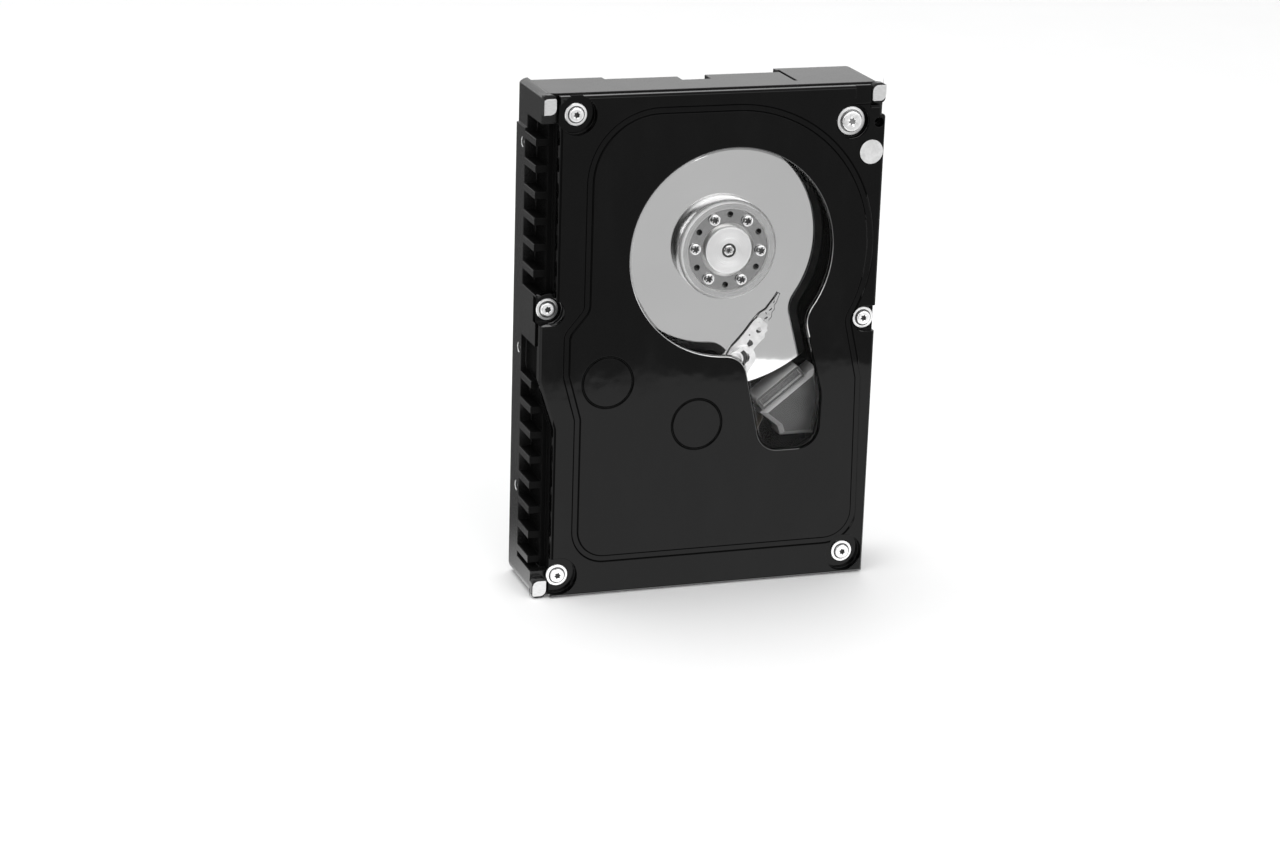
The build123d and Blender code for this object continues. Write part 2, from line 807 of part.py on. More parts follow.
beam_shoulder = 0.46 * beam_length
with BuildPart() as suspensions:
    for top in (lower_platter_top, upper_platter_top):
        above = top + fly_gap + slider_height
        below = top - platter_thickness - fly_gap - slider_height
        for face, outward in ((above, 1), (below, -1)):
            with BuildSketch(level(face)):
                shoulder = polar(swage, beam_shoulder, beam_angle)
                add(hull((*swage, arm_tip_radius + 0.1), (*shoulder, 0.7 * arm_tip_radius)))
                add(hull((*shoulder, 1.9), (*head_tip, 0.7)))
                with Locations(shoulder):
                    Circle(0.8, mode=Mode.SUBTRACT)
            extrude(amount=outward * beam_thickness)
            with BuildSketch(level(face, swage)):
                Circle(swage_radius - snug)
            extrude(amount=outward * (beam_thickness + 0.45 * arm_thickness))
finish("suspensions", suspensions)

with BuildPart() as sliders:
    for top in (lower_platter_top, upper_platter_top):
        for bottom in (top + fly_gap, top - platter_thickness - fly_gap - slider_height):
            with BuildSketch(level(bottom, head_tip, beam_angle)):
                Rectangle(1.3, 1.0)
            extrude(amount=slider_height)
finish("sliders", sliders)

circuit_thickness = 0.4
circuit_bottom = stack_bottom + 0.4
circuit_height = stack_height - 0.8
with BuildPart() as arm_circuit:
    with BuildSketch(level(circuit_bottom, pivot, -44)):
        add(sector(block_radius + snug, block_radius + circuit_thickness, 31))
    extrude(amount=circuit_height)
finish("arm_circuit", arm_circuit)

with BuildPart() as preamp_chip:
    with BuildSketch(level(coil_middle - 1.5, pivot, -24)):
        add(sector(block_radius + circuit_thickness + snug, block_radius + circuit_thickness + 0.9, 10))
    extrude(amount=3.0)
finish("preamp_chip", preamp_chip)

# ===================================================================================================
# Voice-coil motor, crash stops and filter
# ===================================================================================================
yoke_inner = coil_inner - 0.5
yoke_outer = coil_outer + 3.0
yoke_half_angle = 28.0
magnet_half_angle = 25.0
ear_radius = 3.2
side_ear_angle = 35.5
yoke_screw_places = [
    polar(pivot, coil_outer - 2, coil_mid_angle - side_ear_angle),
    polar(pivot, coil_outer - 2, coil_mid_angle + side_ear_angle),
    polar(pivot, frame_outer + 5.3, coil_mid_angle),
]
ear_roots = [
    polar(pivot, coil_outer - 6, coil_mid_angle - yoke_half_angle + 4),
    polar(pivot, coil_outer - 6, coil_mid_angle + yoke_half_angle - 4),
    polar(pivot, yoke_outer - 4, coil_mid_angle),
]
yoke_screw_radius = 1.2


def yoke(bottom):
    """Flat steel yoke: a sector with an ear for each of its three screws."""
    with BuildPart(mode=Mode.PRIVATE) as plate:
        with BuildSketch(level(bottom, pivot, coil_mid_angle)):
            add(sector(yoke_inner, yoke_outer, yoke_half_angle, 2.0))
        extrude(amount=yoke_thickness)
        with BuildSketch(level(bottom)):
            for place, root in zip(yoke_screw_places, ear_roots):
                add(hull((*place, ear_radius), (*root, ear_radius)))
        extrude(amount=yoke_thickness)
        with BuildSketch(level(bottom)):
            with Locations(*yoke_screw_places):
                Circle(yoke_screw_radius + thread_slack)
        extrude(amount=yoke_thickness, mode=Mode.SUBTRACT)
    return plate.part


with BuildPart() as lower_yoke:
    add(yoke(chamber_floor))
finish("lower_yoke", lower_yoke)

with BuildPart() as upper_yoke:
    add(yoke(upper_yoke_bottom))
finish("upper_yoke", upper_yoke)

for name, bottom in (("lower_magnet", lower_magnet_bottom), ("upper_magnet", upper_magnet_bottom)):
    with BuildPart() as magnet:
        with BuildSketch(level(bottom, pivot, coil_mid_angle)):
            add(sector(coil_inner + 2, coil_outer - 1, magnet_half_angle, 1.0))
        extrude(amount=magnet_thickness)
    finish(name, magnet)

with BuildPart() as yoke_spacers:
    for place in yoke_screw_places:
        post_height = upper_yoke_bottom - lower_magnet_bottom
        add(ring(lower_magnet_bottom, post_height, 2.2, yoke_screw_radius + thread_slack, place))
finish("yoke_spacers", yoke_spacers)

with BuildPart() as yoke_screws:
    for place in yoke_screw_places:
        seat = upper_yoke_bottom + yoke_thickness
        add(screw(seat, place, 2.4, 1.2, yoke_screw_radius, seat - chamber_floor + 3.0))
finish("yoke_screws", yoke_screws)

stop_circle = 20.0
bumper_radius = 2.0
stop_pin_radius = 1.3
stop_margin = frame_half_angle + 6.7
stop_places = [
    polar(pivot, stop_circle, coil_rest_angle + stop_margin),
    polar(pivot, stop_circle, coil_rest_angle - swing_angle - stop_margin),
]
with BuildPart() as stop_pins:
    for place in stop_places:
        add(ring(chamber_floor - 2.5, coil_top + 1.2 - chamber_floor + 2.5, stop_pin_radius, 0, place))
finish("stop_pins", stop_pins)

with BuildPart() as stop_bumpers:
    for place in stop_places:
        add(
            ring(
                coil_bottom - 0.8,
                coil_thickness + 1.6,
                bumper_radius,
                stop_pin_radius + snug,
                place,
            )
        )
finish("stop_bumpers", stop_bumpers)

filter_center = polar(spindle, platter_radius + 5.1, -66.3)
filter_angle = 37.9
filter_length = 14.2
filter_thickness = 2.4
filter_drop = 1.2
holder_wall = 0.9
holder_top = upper_platter_top + 1.3
with BuildPart() as filter_holder:
    with BuildSketch(level(chamber_floor, filter_center, filter_angle)):
        RectangleRounded(filter_length + 2 * holder_wall, filter_thickness + 2 * holder_wall, 0.8)
    extrude(amount=holder_top - chamber_floor)
    with BuildSketch(level(chamber_floor + 0.8, filter_center, filter_angle)):
        Rectangle(filter_length, filter_thickness)
    extrude(amount=holder_top, mode=Mode.SUBTRACT)
finish("filter_holder", filter_holder)

with BuildPart() as air_filter:
    with BuildSketch(level(chamber_floor + 0.8, filter_center, filter_angle)):
        RectangleRounded(filter_length - 2 * snug, filter_thickness - 2 * snug, 0.4)
    extrude(amount=holder_top - filter_drop - chamber_floor - 0.8)
finish("air_filter", air_filter)

# The bracket lies along the holder, with its corners given from the middle of the filter.
bracket_offsets = [(-5.6, -7.4), (10.9, 5.5), (12.7, -3.5), (11.1, -14.7), (1.0, -14.7), (0.1, -12.0)]
bracket_bevel = 1.3
with BuildPart() as flex_bracket:
    with BuildSketch(level(chamber_floor, filter_center)):
        Polygon(*bracket_offsets, align=None)
    extrude(amount=holder_top - chamber_floor)
    chamfer(flex_bracket.faces().sort_by(Axis.Y)[0].edges(), length=bracket_bevel)
finish("flex_bracket", flex_bracket)

feed_center = (filter_center[0] + 4.6, filter_center[1] - 7.2)
feed_length = 11.0
feed_width = 4.0
board_bottom = 2.6
board_thickness = 1.2
board_top = board_bottom + board_thickness
with BuildPart() as feed_connector:
    with BuildSketch(level(board_top, feed_center)):
        Rectangle(feed_length, feed_width)
    extrude(amount=chamber_floor - board_top)
finish("feed_connector", feed_connector)

cable_thickness = 0.2
cable_start = polar((0, 0), block_radius + circuit_thickness + clear, -62)
cable_end = (filter_center[0] - 5.1 - pivot_x, filter_center[1] - 8.3 - pivot_z)
cable_points = [cable_start, (8.0, -13.3), (17.0, -13.3), cable_end]
with BuildPart() as flex_cable:
    with BuildSketch(level(circuit_bottom, pivot)):
        with BuildLine():
            FilletPolyline(*cable_points, radius=4)
        trace(line_width=cable_thickness)
    extrude(amount=circuit_height)
finish("flex_cable", flex_cable)

# ===================================================================================================
# Base casting
# ===================================================================================================
connector_depth = 7.2
rail_height = 8.65
rail_width = 5.9
fin_top = 19.5
fin_thickness = 2.1
fin_pitch = 7.5
side_relief = 0.6
relief_top = 4.5
recess_depth = 3.6
block_bottom = deep_screw[1] - 10.5
block_top = deep_screw[1] + 4.2
post_bottom = drive_length - 8.5
foot_top = 7.5
first_upper_fin = post_bottom - 4.8
first_lower_fin = block_bottom - 11.1
upper_fin_count = int((first_upper_fin - block_top) / fin_pitch) + 1
lower_fin_count = int((first_lower_fin - foot_top) / fin_pitch) + 1
upper_fins = [first_upper_fin - fin_pitch * step for step in range(upper_fin_count)]
lower_fins = [first_lower_fin - fin_pitch * step for step in range(lower_fin_count)]
post_top_height = drive_thickness - 1.5
pad_height = drive_thickness - 1.05
corner_radius = 3.0
board_ceiling = 6.0
board_pocket_top = spindle_z - 8.4
boss_ring_radius = 23.5
underside_relief = 2.2
inner_rail_x = half_width - rail_width
board_screw_x = half_width - 9.8
board_screw_rows = (connector_depth + 3.8, pivot_z + 0.2, board_pocket_top - 7.5)
board_screw_places = [(side * board_screw_x, row) for row in board_screw_rows for side in (-1, 1)]
end_reliefs = [
    (corner_radius - half_width, -27.0, 3.5, 9.0),
    (-27.0, -5.5, 6.0, 9.0),
    (-5.5, 3.0, 10.5, 3.4),
    (3.0, 25.6, 5.0, 9.0),
]

connector_center = -20.68
connector_half = 19.8
header_center = 10.5
header_half = 4.6
mouth = (connector_center - connector_half - clear, header_center + header_half + clear)
mouth_height = 6.7

with BuildPart() as base_casting:
    with BuildSketch(level(0)):
        with Locations((0, drive_length / 2)):
            RectangleRounded(drive_width, drive_length, corner_radius)
    extrude(amount=rim_top)
    # Corner posts, each with a machined pad on top.
    post_width = corner_pad - 0.6
    posts = ((-1, pad_z - 0.5, drive_length), (1, pad_z - 0.1, drive_length), (-1, 0, 6.0))
    for side, low, high in posts:
        with BuildSketch(level(rim_top)):
            with Locations((side * (half_width - post_width / 2), (low + high) / 2)):
                RectangleRounded(post_width, high - low, 1.5)
        extrude(amount=post_top_height - rim_top)
    for side, middle in ((-1, drive_length - 3.3), (1, drive_length - 2.8), (-1, 3.0)):
        with BuildSketch(level(post_top_height)):
            add(leaf((side * (half_width - post_width / 2), middle), post_width - 0.1, 4.6))
        extrude(amount=pad_height - post_top_height)
    # Left side above the rail: the wall is set back where the fins stand.
    with BuildSketch(level(rail_height)):
        with Locations((-half_width, (block_top + post_bottom) / 2)):
            Rectangle(2 * recess_depth, post_bottom - block_top)
        Polygon(
            (-half_width - 1, block_bottom),
            (1.6 - half_width, block_bottom),
            (1.6 - half_width, block_bottom - 8.8),
            (recess_depth - half_width, block_bottom - 20.8),
            (recess_depth - half_width, foot_top),
            (-half_width - 1, foot_top),
            align=None,
        )
    extrude(amount=rim_top - rail_height, mode=Mode.SUBTRACT)
    # Above the fins the rim follows the edge of the cover.
    with BuildSketch(level(fin_top)):
        with Locations((-half_width, (block_top + post_bottom) / 2)):
            Rectangle(16, post_bottom - block_top)
        with Locations((-half_width, (foot_top + block_bottom) / 2)):
            Rectangle(16, block_bottom - foot_top)
        add(cover_plan, mode=Mode.SUBTRACT)
    extrude(amount=rim_top - fin_top, mode=Mode.SUBTRACT)
    # The side faces are set back above the upper pair of side holes.
    for side, height in ((-1, drive_thickness), (1, rail_height)):
        with BuildSketch(level(0)):
            with Locations((side * half_width, side_hole_z[-1] + relief_top)):
                Rectangle(2 * side_relief, drive_length, align=(Align.CENTER, Align.MIN))
        extrude(amount=height, mode=Mode.SUBTRACT)
    # Cooling fins.
    with BuildSketch(level(rail_height)):
        with Locations(*[(-half_width, z) for z in upper_fins + lower_fins]):
            Rectangle(recess_depth + snug, fin_thickness, align=(Align.MIN, Align.MAX))
    extrude(amount=fin_top - rail_height)
    # Disk chamber and actuator bay.
    with BuildSketch(level(chamber_floor)):
        add(chamber_outline)
    extrude(amount=rim_top - chamber_floor, mode=Mode.SUBTRACT)
    # Boss of the deep cover screw.
    with BuildSketch(level(deep_screw_seat - tab_thickness)):
        with Locations(deep_screw):
            Circle(pocket_radius + 1.2 + 0.25)
    extrude(amount=drive_thickness, mode=Mode.SUBTRACT)
    # Underside: pocket of the board, round relief and the ring that carries the motor.
    with BuildSketch(level(0)):
        with Locations((0, (connector_depth + board_pocket_top) / 2)):
            Rectangle(2 * inner_rail_x, board_pocket_top - connector_depth)
        with Locations(spindle):
            Circle(boss_ring_radius, mode=Mode.SUBTRACT)
    extrude(amount=board_ceiling, mode=Mode.SUBTRACT)
    with BuildSketch(level(0)):
        with Locations((0, board_pocket_top)):
            Rectangle(2 * inner_rail_x, platter_radius - 4, align=(Align.CENTER, Align.MIN))
        with Locations(spindle):
            Circle(boss_ring_radius)
    extrude(amount=underside_relief, mode=Mode.SUBTRACT)
    with BuildSketch(level(underside_relief, spindle)):
        Circle(platter_radius - 5)
        Circle(boss_ring_radius + 1.5, mode=Mode.SUBTRACT)
    extrude(amount=underside_relief, mode=Mode.SUBTRACT)
    for low_x, high_x, depth, reach in end_reliefs:
        with BuildSketch(level(0)):
            with Locations(((low_x + high_x) / 2, drive_length)):
                Rectangle(high_x - low_x, 2 * reach)
        extrude(amount=depth, mode=Mode.SUBTRACT)
    with BuildSketch(level(2.4)):
        with Locations((26.2, drive_length)):
            Rectangle(0.9, 1.4)
    extrude(amount=14.8, mode=Mode.SUBTRACT)
    # Motor well, with the seat of the flange.
    with BuildSketch(level(flange_top, spindle)):
        Circle(well_radius)
    extrude(amount=chamber_floor - flange_top, mode=Mode.SUBTRACT)
    with BuildSketch(level(0, spindle)):
        Circle(flange_radius + 0.1)
    extrude(amount=flange_top, mode=Mode.SUBTRACT)
    # Mouth for the connectors, and the slot of the feed-through.
    with BuildSketch(level(0)):
        with Locations(((mouth[0] + mouth[1]) / 2, 0)):
            Rectangle(mouth[1] - mouth[0], 2 * connector_depth + 0.2)
    extrude(amount=mouth_height, mode=Mode.SUBTRACT)
    with BuildSketch(level(board_ceiling, feed_center)):
        Rectangle(feed_length + 0.1, feed_width + 0.1)
    extrude(amount=chamber_floor - board_ceiling, mode=Mode.SUBTRACT)
    # Bosses that carry the board.
    with BuildSketch(level(board_top)):
        with Locations(*board_screw_places):
            Circle(2.6)
    extrude(amount=board_ceiling - board_top)
    # Threaded holes of the row's own fasteners.
    with BuildSketch(level(board_top)):
        with Locations(*board_screw_places):
            Circle(1.0 + thread_slack)
    extrude(amount=4.4, mode=Mode.SUBTRACT)
    with BuildSketch(level(chamber_floor)):
        with Locations(*yoke_screw_places):
            Circle(yoke_screw_radius + thread_slack)
        with Locations(*stop_places):
            Circle(stop_pin_radius + snug)
    extrude(amount=-3.2, mode=Mode.SUBTRACT)
    with BuildSketch(level(chamber_floor, pivot)):
        Circle(2.0 + thread_slack)
    extrude(amount=-4.2, mode=Mode.SUBTRACT)
    with BuildSketch(level(flange_top, spindle)):
        with PolarLocations(flange_screw_circle, 4, start_angle=45):
            Circle(0.95 + thread_slack)
    extrude(amount=3.0, mode=Mode.SUBTRACT)
    with BuildSketch(level(rim_top)):
        with Locations(*shallow_screws, lock_screw):
            Circle(screw_radius + thread_slack)
    extrude(amount=screw_seat - screw_reach - 0.4 - rim_top, mode=Mode.SUBTRACT)
    with BuildSketch(level(rim_top, vent_center)):
        Circle(1.1)
    extrude(amount=-1.5, mode=Mode.SUBTRACT)
    with BuildSketch(level(rim_top, deep_screw)):
        Circle(screw_radius + thread_slack)
    extrude(amount=deep_screw_seat - screw_reach - 0.4 - rim_top, mode=Mode.SUBTRACT)
    # Mounting holes: three in each side and four in the underside.
    for side in (-1, 1):
        face = Plane(origin=(side * half_width, 0, 0), x_dir=(0, side, 0), z_dir=(side, 0, 0))
        with BuildSketch(face):
            with Locations(*[(side * (drive_thickness / 2 - side_hole_height), z) for z in side_hole_z]):
                Circle(mount_hole_radius)
        extrude(amount=-side_hole_depth, mode=Mode.SUBTRACT)
    with BuildSketch(level(0)):
        for side in (-1, 1):
            with Locations(*[(side * (half_width - bottom_hole_inset), z) for z in bottom_hole_z]):
                Circle(mount_hole_radius)
    extrude(amount=bottom_hole_depth, mode=Mode.SUBTRACT)
finish("base_casting", base_casting)

# ===================================================================================================
# Circuit board and connectors
# ===================================================================================================
board_half_width = inner_rail_x - 0.4
board_low = connector_depth + 0.2
board_high = board_pocket_top - 2.5
board_arc = boss_ring_radius + 0.6
board_middle = (0, (board_low + board_high) / 2)
chip_thickness = 1.4
foam_thickness = 0.8
chips = {
    "controller_chip": ((8.0, 42.0), 16.0, 16.0),
    "memory_chip": ((-9.0, 33.0), 8.0, 11.0),
    "motor_driver_chip": ((-17.0, 62.0), 9.0, 9.0),
}

with BuildPart() as circuit_board:
    with BuildSketch(level(board_bottom)):
        with Locations(board_middle):
            RectangleRounded(2 * board_half_width, board_high - board_low, 1.5)
        with Locations(spindle):
            Circle(board_arc, mode=Mode.SUBTRACT)
        with Locations(*board_screw_places):
            Circle(1.1, mode=Mode.SUBTRACT)
    extrude(amount=board_thickness)
finish("circuit_board", circuit_board)

for name, (center, across, along) in chips.items():
    with BuildPart() as chip:
        with BuildSketch(level(board_top, center)):
            Rectangle(across, along)
        extrude(amount=chip_thickness)
        chamfer(chip.faces().sort_by(Axis.Y)[0].edges(), length=0.2)
    finish(name, chip)

with BuildPart() as board_foam:
    with BuildSketch(level(board_top)):
        with Locations(board_middle):
            RectangleRounded(2 * (board_screw_x - 3.5), board_high - board_low - 24.0, 2.0)
        with Locations(spindle):
            Circle(board_arc + 2, mode=Mode.SUBTRACT)
        for center, across, along in chips.values():
            with Locations(center):
                Rectangle(across + 1, along + 1, mode=Mode.SUBTRACT)
        with Locations(feed_center):
            Rectangle(feed_length + 1, feed_width + 1, mode=Mode.SUBTRACT)
    extrude(amount=foam_thickness)
finish("board_foam", board_foam)

with BuildPart() as board_screws:
    for place in board_screw_places:
        add(underside_screw(board_bottom, place, 1.9, 1.1, 1.0, board_thickness + 3.6))
finish("board_screws", board_screws)

tongue_thickness = 1.23
tongue_height = 3.5
tongue_gap = 2.43
data_length = 10.41
power_length = 20.55
shroud_wall = 0.8
shroud_height = 5.2
contact_pitch = 1.27
socket_depth = 4.9
tongues_left = connector_center - (data_length + tongue_gap + power_length) / 2
tongues = ((tongues_left, power_length, 15), (tongues_left + power_length + tongue_gap, data_length, 7))
tongue_y = drive_thickness / 2 - tongue_height

with BuildPart() as drive_connector:
    with BuildSketch(Plane.XY.offset(clear)):
        with Locations((connector_center, tongue_y)):
            Rectangle(2 * connector_half, shroud_height)
    extrude(amount=connector_depth - clear)
    with BuildSketch(Plane.XY):
        with Locations((connector_center, tongue_y)):
            Rectangle(2 * (connector_half - shroud_wall), shroud_height - 2 * shroud_wall)
    extrude(amount=socket_depth, mode=Mode.SUBTRACT)
    with BuildSketch(Plane.XY.offset(0.9)):
        for left, length, _ in tongues:
            with Locations((left, tongue_y)):
                Rectangle(length, tongue_thickness, align=(Align.MIN, Align.CENTER))
                Rectangle(1.1, 1.5, align=(Align.MIN, Align.MIN))
    extrude(amount=socket_depth)
finish("drive_connector", drive_connector)

with BuildPart() as connector_contacts:
    for left, length, count in tongues:
        with BuildSketch(Plane.XY.offset(1.3)):
            with Locations((left + length / 2, tongue_y - tongue_thickness / 2)):
                with GridLocations(contact_pitch, 1, count, 1):
                    Rectangle(0.7, 0.12, align=(Align.CENTER, Align.MAX))
        extrude(amount=socket_depth - 1.3)
finish("connector_contacts", connector_contacts)

pin_size = 0.5
pin_pitch = 2.0
with BuildPart() as jumper_header:
    with BuildSketch(Plane.XY.offset(clear + 2)):
        with Locations((header_center, tongue_y)):
            Rectangle(2 * header_half, 4.4)
            with GridLocations(pin_pitch, pin_pitch, 4, 2):
                Rectangle(pin_size + 2 * snug, pin_size + 2 * snug, mode=Mode.SUBTRACT)
    extrude(amount=connector_depth - clear - 2)
finish("jumper_header", jumper_header)

with BuildPart() as jumper_pins:
    with BuildSketch(Plane.XY.offset(0.9)):
        with Locations((header_center, tongue_y)):
            with GridLocations(pin_pitch, pin_pitch, 4, 2):
                Rectangle(pin_size, pin_size)
    extrude(amount=connector_depth - 0.9)
finish("jumper_pins", jumper_pins)
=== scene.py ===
# %% [markdown]
# # A hard disk drive on a pale table
#
# The solids of the drive come from its CAD model, already in place, and this lesson dresses them.
# Most of the work is in the finishes: a drive is nearly all metal and black lacquer, and such
# surfaces are only as good as the fine detail in them and the room that they reflect.  Places on
# the drive are stated in millimetres, and `spindle` is the x and z of the disks' axis.

# %% Load the drive
import json
from math import cos, hypot, radians, sin, tau

import bmesh
import bpy
from mathutils import Matrix, Vector


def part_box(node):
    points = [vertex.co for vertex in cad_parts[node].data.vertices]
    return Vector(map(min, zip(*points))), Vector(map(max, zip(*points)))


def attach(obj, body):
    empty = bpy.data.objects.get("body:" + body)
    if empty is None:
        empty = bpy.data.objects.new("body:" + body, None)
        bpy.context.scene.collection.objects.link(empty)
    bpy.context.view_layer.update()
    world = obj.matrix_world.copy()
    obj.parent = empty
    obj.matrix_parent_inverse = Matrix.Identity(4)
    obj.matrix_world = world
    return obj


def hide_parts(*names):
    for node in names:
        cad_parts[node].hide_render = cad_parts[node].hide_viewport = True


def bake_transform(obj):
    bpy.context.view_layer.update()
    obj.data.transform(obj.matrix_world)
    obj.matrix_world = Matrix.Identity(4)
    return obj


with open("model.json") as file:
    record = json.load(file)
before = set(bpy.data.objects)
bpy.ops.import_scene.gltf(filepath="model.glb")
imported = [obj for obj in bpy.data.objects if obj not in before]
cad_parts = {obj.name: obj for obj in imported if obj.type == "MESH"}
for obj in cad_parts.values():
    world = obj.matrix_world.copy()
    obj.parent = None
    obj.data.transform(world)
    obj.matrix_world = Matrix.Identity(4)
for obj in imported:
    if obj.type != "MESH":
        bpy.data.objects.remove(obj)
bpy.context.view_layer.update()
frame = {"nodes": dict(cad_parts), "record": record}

record = frame["record"]
mm = 0.001
spindle = (5.9, 99.9)

# %% [markdown]
# ## Camera
#
# The camera looks down on the upright drive from the front and a little to its left.  It is set
# by its azimuth, height angle and roll about a point half way up the drive, and by how far it then
# slides sideways and up.  A longish lens keeps the sides of the drive nearly parallel.

# %% Camera
azimuth, elevation, roll = radians(-18.624), radians(17.708), radians(1.798)
slide, rise, distance = 15.754 * mm, 26.783 * mm, 920.348 * mm
backward = Vector((sin(azimuth) * cos(elevation), -cos(azimuth) * cos(elevation), sin(elevation)))
level_right = Vector((0, 0, 1)).cross(backward).normalized()
level_up = backward.cross(level_right)
right = level_right * cos(roll) + level_up * sin(roll)
up = level_up * cos(roll) - level_right * sin(roll)
middle = Vector((0, 0, 73.5 * mm))
sensor_width, focal_length = 36, 89.744

lens = bpy.data.cameras.new("camera")
lens.sensor_width = sensor_width
lens.lens = focal_length
camera = bpy.data.objects.new("camera", lens)
camera.matrix_world = Matrix((right, up, backward)).transposed().to_4x4()
camera.location = middle - slide * right - rise * up + distance * backward
bpy.context.scene.collection.objects.link(camera)
bpy.context.scene.camera = camera
bpy.context.scene.view_settings.view_transform = "Standard"
print("camera at", [round(value, 3) for value in camera.location])

# %% [markdown]
# ## Sums on shader sockets
#
# Shader detail is mostly arithmetic on the position of a point.  Adding a Math node by hand for
# each plus sign hides the idea, so this class wraps a socket and turns Python's operators into
# Math nodes.  `1 - mask` then reads as it would on paper.

# %% The socket class
class Value:
    """A number that varies over a surface, as a socket that takes part in sums."""

    def __init__(self, finish, socket):
        self.finish = finish
        self.socket = socket

    def math(self, operation, *terms):
        return self.finish.add("ShaderNodeMath", {"operation": operation}, *terms)

    def __add__(self, other):
        return self.math("ADD", self, other)

    def __radd__(self, other):
        return self.math("ADD", other, self)

    def __sub__(self, other):
        return self.math("SUBTRACT", self, other)

    def __rsub__(self, other):
        return self.math("SUBTRACT", other, self)

    def __mul__(self, other):
        return self.math("MULTIPLY", self, other)

    def __rmul__(self, other):
        return self.math("MULTIPLY", other, self)

    def __truediv__(self, other):
        return self.math("DIVIDE", self, other)

    def __pow__(self, other):
        return self.math("POWER", self, other)

    def __gt__(self, other):
        return self.math("GREATER_THAN", self, other)

    def __lt__(self, other):
        return self.math("LESS_THAN", self, other)

    def sine(self):
        return self.math("SINE", self)

    def fraction(self):
        return self.math("FRACT", self)

    def size(self):
        return self.math("ABSOLUTE", self)

    def root(self):
        return self.math("SQRT", self)

    def either(self, other):
        """The larger of two, which for masks means one or the other."""
        return self.math("MAXIMUM", self, other)

    def nearer(self, other):
        """The smaller of two, which for distances means the nearer."""
        return self.math("MINIMUM", self, other)

    def ramp(self, low, high):
        """0 up to low, 1 from high on, and a soft step in between."""
        settings = {"interpolation_type": "SMOOTHSTEP"}
        return self.finish.add("ShaderNodeMapRange", settings, self, low, high, 0.0, 1.0)


# %% [markdown]
# ## One place to build a finish
#
# A finish is a material on its way to being finished.  It has one method that adds any node, with
# its settings made first and its inputs after, and a few short ones for what nearly every surface
# needs: the position in millimetres, noise at a stated scale, a colour mix, and relief in
# millimetres.  Plain numbers go straight onto the shader's own sockets, and only what changes over
# the surface is linked.  Most tones in this scene are greys, so a grey is stated as one number.

# %% The finish class
def grey(tone):
    return (tone, tone, tone)


class Finish:
    """A procedural material built round one Principled shader."""

    def __init__(self, name, **constants):
        self.material = bpy.data.materials.new(name)
        self.material.use_nodes = True
        self.tree = self.material.node_tree
        self.shader = self.tree.nodes["Principled BSDF"]
        self.output = self.tree.nodes["Material Output"]
        self.set(**constants)

    def plug(self, socket, value):
        if isinstance(value, Value):
            self.tree.links.new(value.socket, socket)
        elif isinstance(value, tuple) and len(value) == 3 and socket.type == "RGBA":
            socket.default_value = (*value, 1.0)
        else:
            socket.default_value = value

    def add(self, kind, settings=None, *inputs, out=0, **named):
        node = self.tree.nodes.new(kind)
        for key, value in (settings or {}).items():
            setattr(node, key, value)
        for index, value in enumerate(inputs):
            self.plug(node.inputs[index], value)
        for key, value in named.items():
            self.plug(node.inputs[key.replace("_", " ")], value)
        return Value(self, node.outputs[out])

    def set(self, **sockets):
        for key, value in sockets.items():
            self.plug(self.shader.inputs[key.replace("_", " ")], value)

    def fact(self, kind, name):
        """A named output of a node that needs no inputs, such as what kind of ray arrives."""
        return Value(self, self.add(kind).socket.node.outputs[name])

    def point(self, scale=(1.0, 1.0, 1.0)):
        """Position in the drive's frame in millimetres, stretched if asked."""
        place = self.add("ShaderNodeTexCoord", out=3)
        factors = tuple(value / mm for value in scale)
        return self.add("ShaderNodeVectorMath", {"operation": "MULTIPLY"}, place, factors)

    def axes(self):
        """X, Y and Z of the position in millimetres, as three values."""
        split = self.add("ShaderNodeSeparateXYZ", None, self.point())
        return [Value(self, socket) for socket in split.socket.node.outputs]

    def facing(self):
        """X, Y and Z of the surface's own direction."""
        split = self.add("ShaderNodeSeparateXYZ", None, self.fact("ShaderNodeNewGeometry", "Normal"))
        return [Value(self, socket) for socket in split.socket.node.outputs]

    def bevelled(self):
        """1 on a bevel at the front: it neither faces the front nor lies square to it."""
        _, ny, _ = self.facing()
        return (ny > -0.97) * (ny < -0.3)

    def noise(self, per_mm, detail=3.0, roughness=0.5, stretch=(1.0, 1.0, 1.0)):
        sockets = {"Scale": per_mm, "Detail": detail, "Roughness": roughness}
        return self.add("ShaderNodeTexNoise", None, **{"Vector": self.point(stretch), **sockets})

    def mix(self, mask, low, high):
        """Colour low where the mask is 0, and high where it is 1."""
        node = self.add("ShaderNodeMix", {"data_type": "RGBA"}, out=2).socket.node
        for index, value in ((0, mask), (6, low), (7, high)):
            self.plug(node.inputs[index], value)
        return Value(self, node.outputs[2])

    def blend(self, share, first, second):
        """Shader that is the first where the share is 0 and the second where it is 1."""
        return self.add("ShaderNodeMixShader", None, share, first, second)

    def own(self):
        """The finish's own Principled shader, to be blended with others."""
        return Value(self, self.shader.outputs[0])

    def show(self, shader):
        self.tree.links.new(shader.socket, self.output.inputs["Surface"])

    # Both uses below lay painted shade: between the casting's fins and in the cover's grooves.
    def cover_with(self, tone, share):
        """Lays a dull grey over the shader, by a share from 0 to 1."""
        dull = self.add("ShaderNodeBsdfDiffuse", None, grey(tone))
        self.show(self.blend(share, self.own(), dull))

    def relief(self, height):
        """Bumps the surface by a height in millimetres."""
        self.set(Normal=self.add("ShaderNodeBump", None, Strength=1.0, Distance=mm, Height=height))

    def distance(self, center):
        """Distance in millimetres from an axis parallel to the spindle, through (x, z)."""
        x, _, z = self.axes()
        across, along = x - center[0], z - center[1]
        return (across * across + along * along).root()


finishes = {}
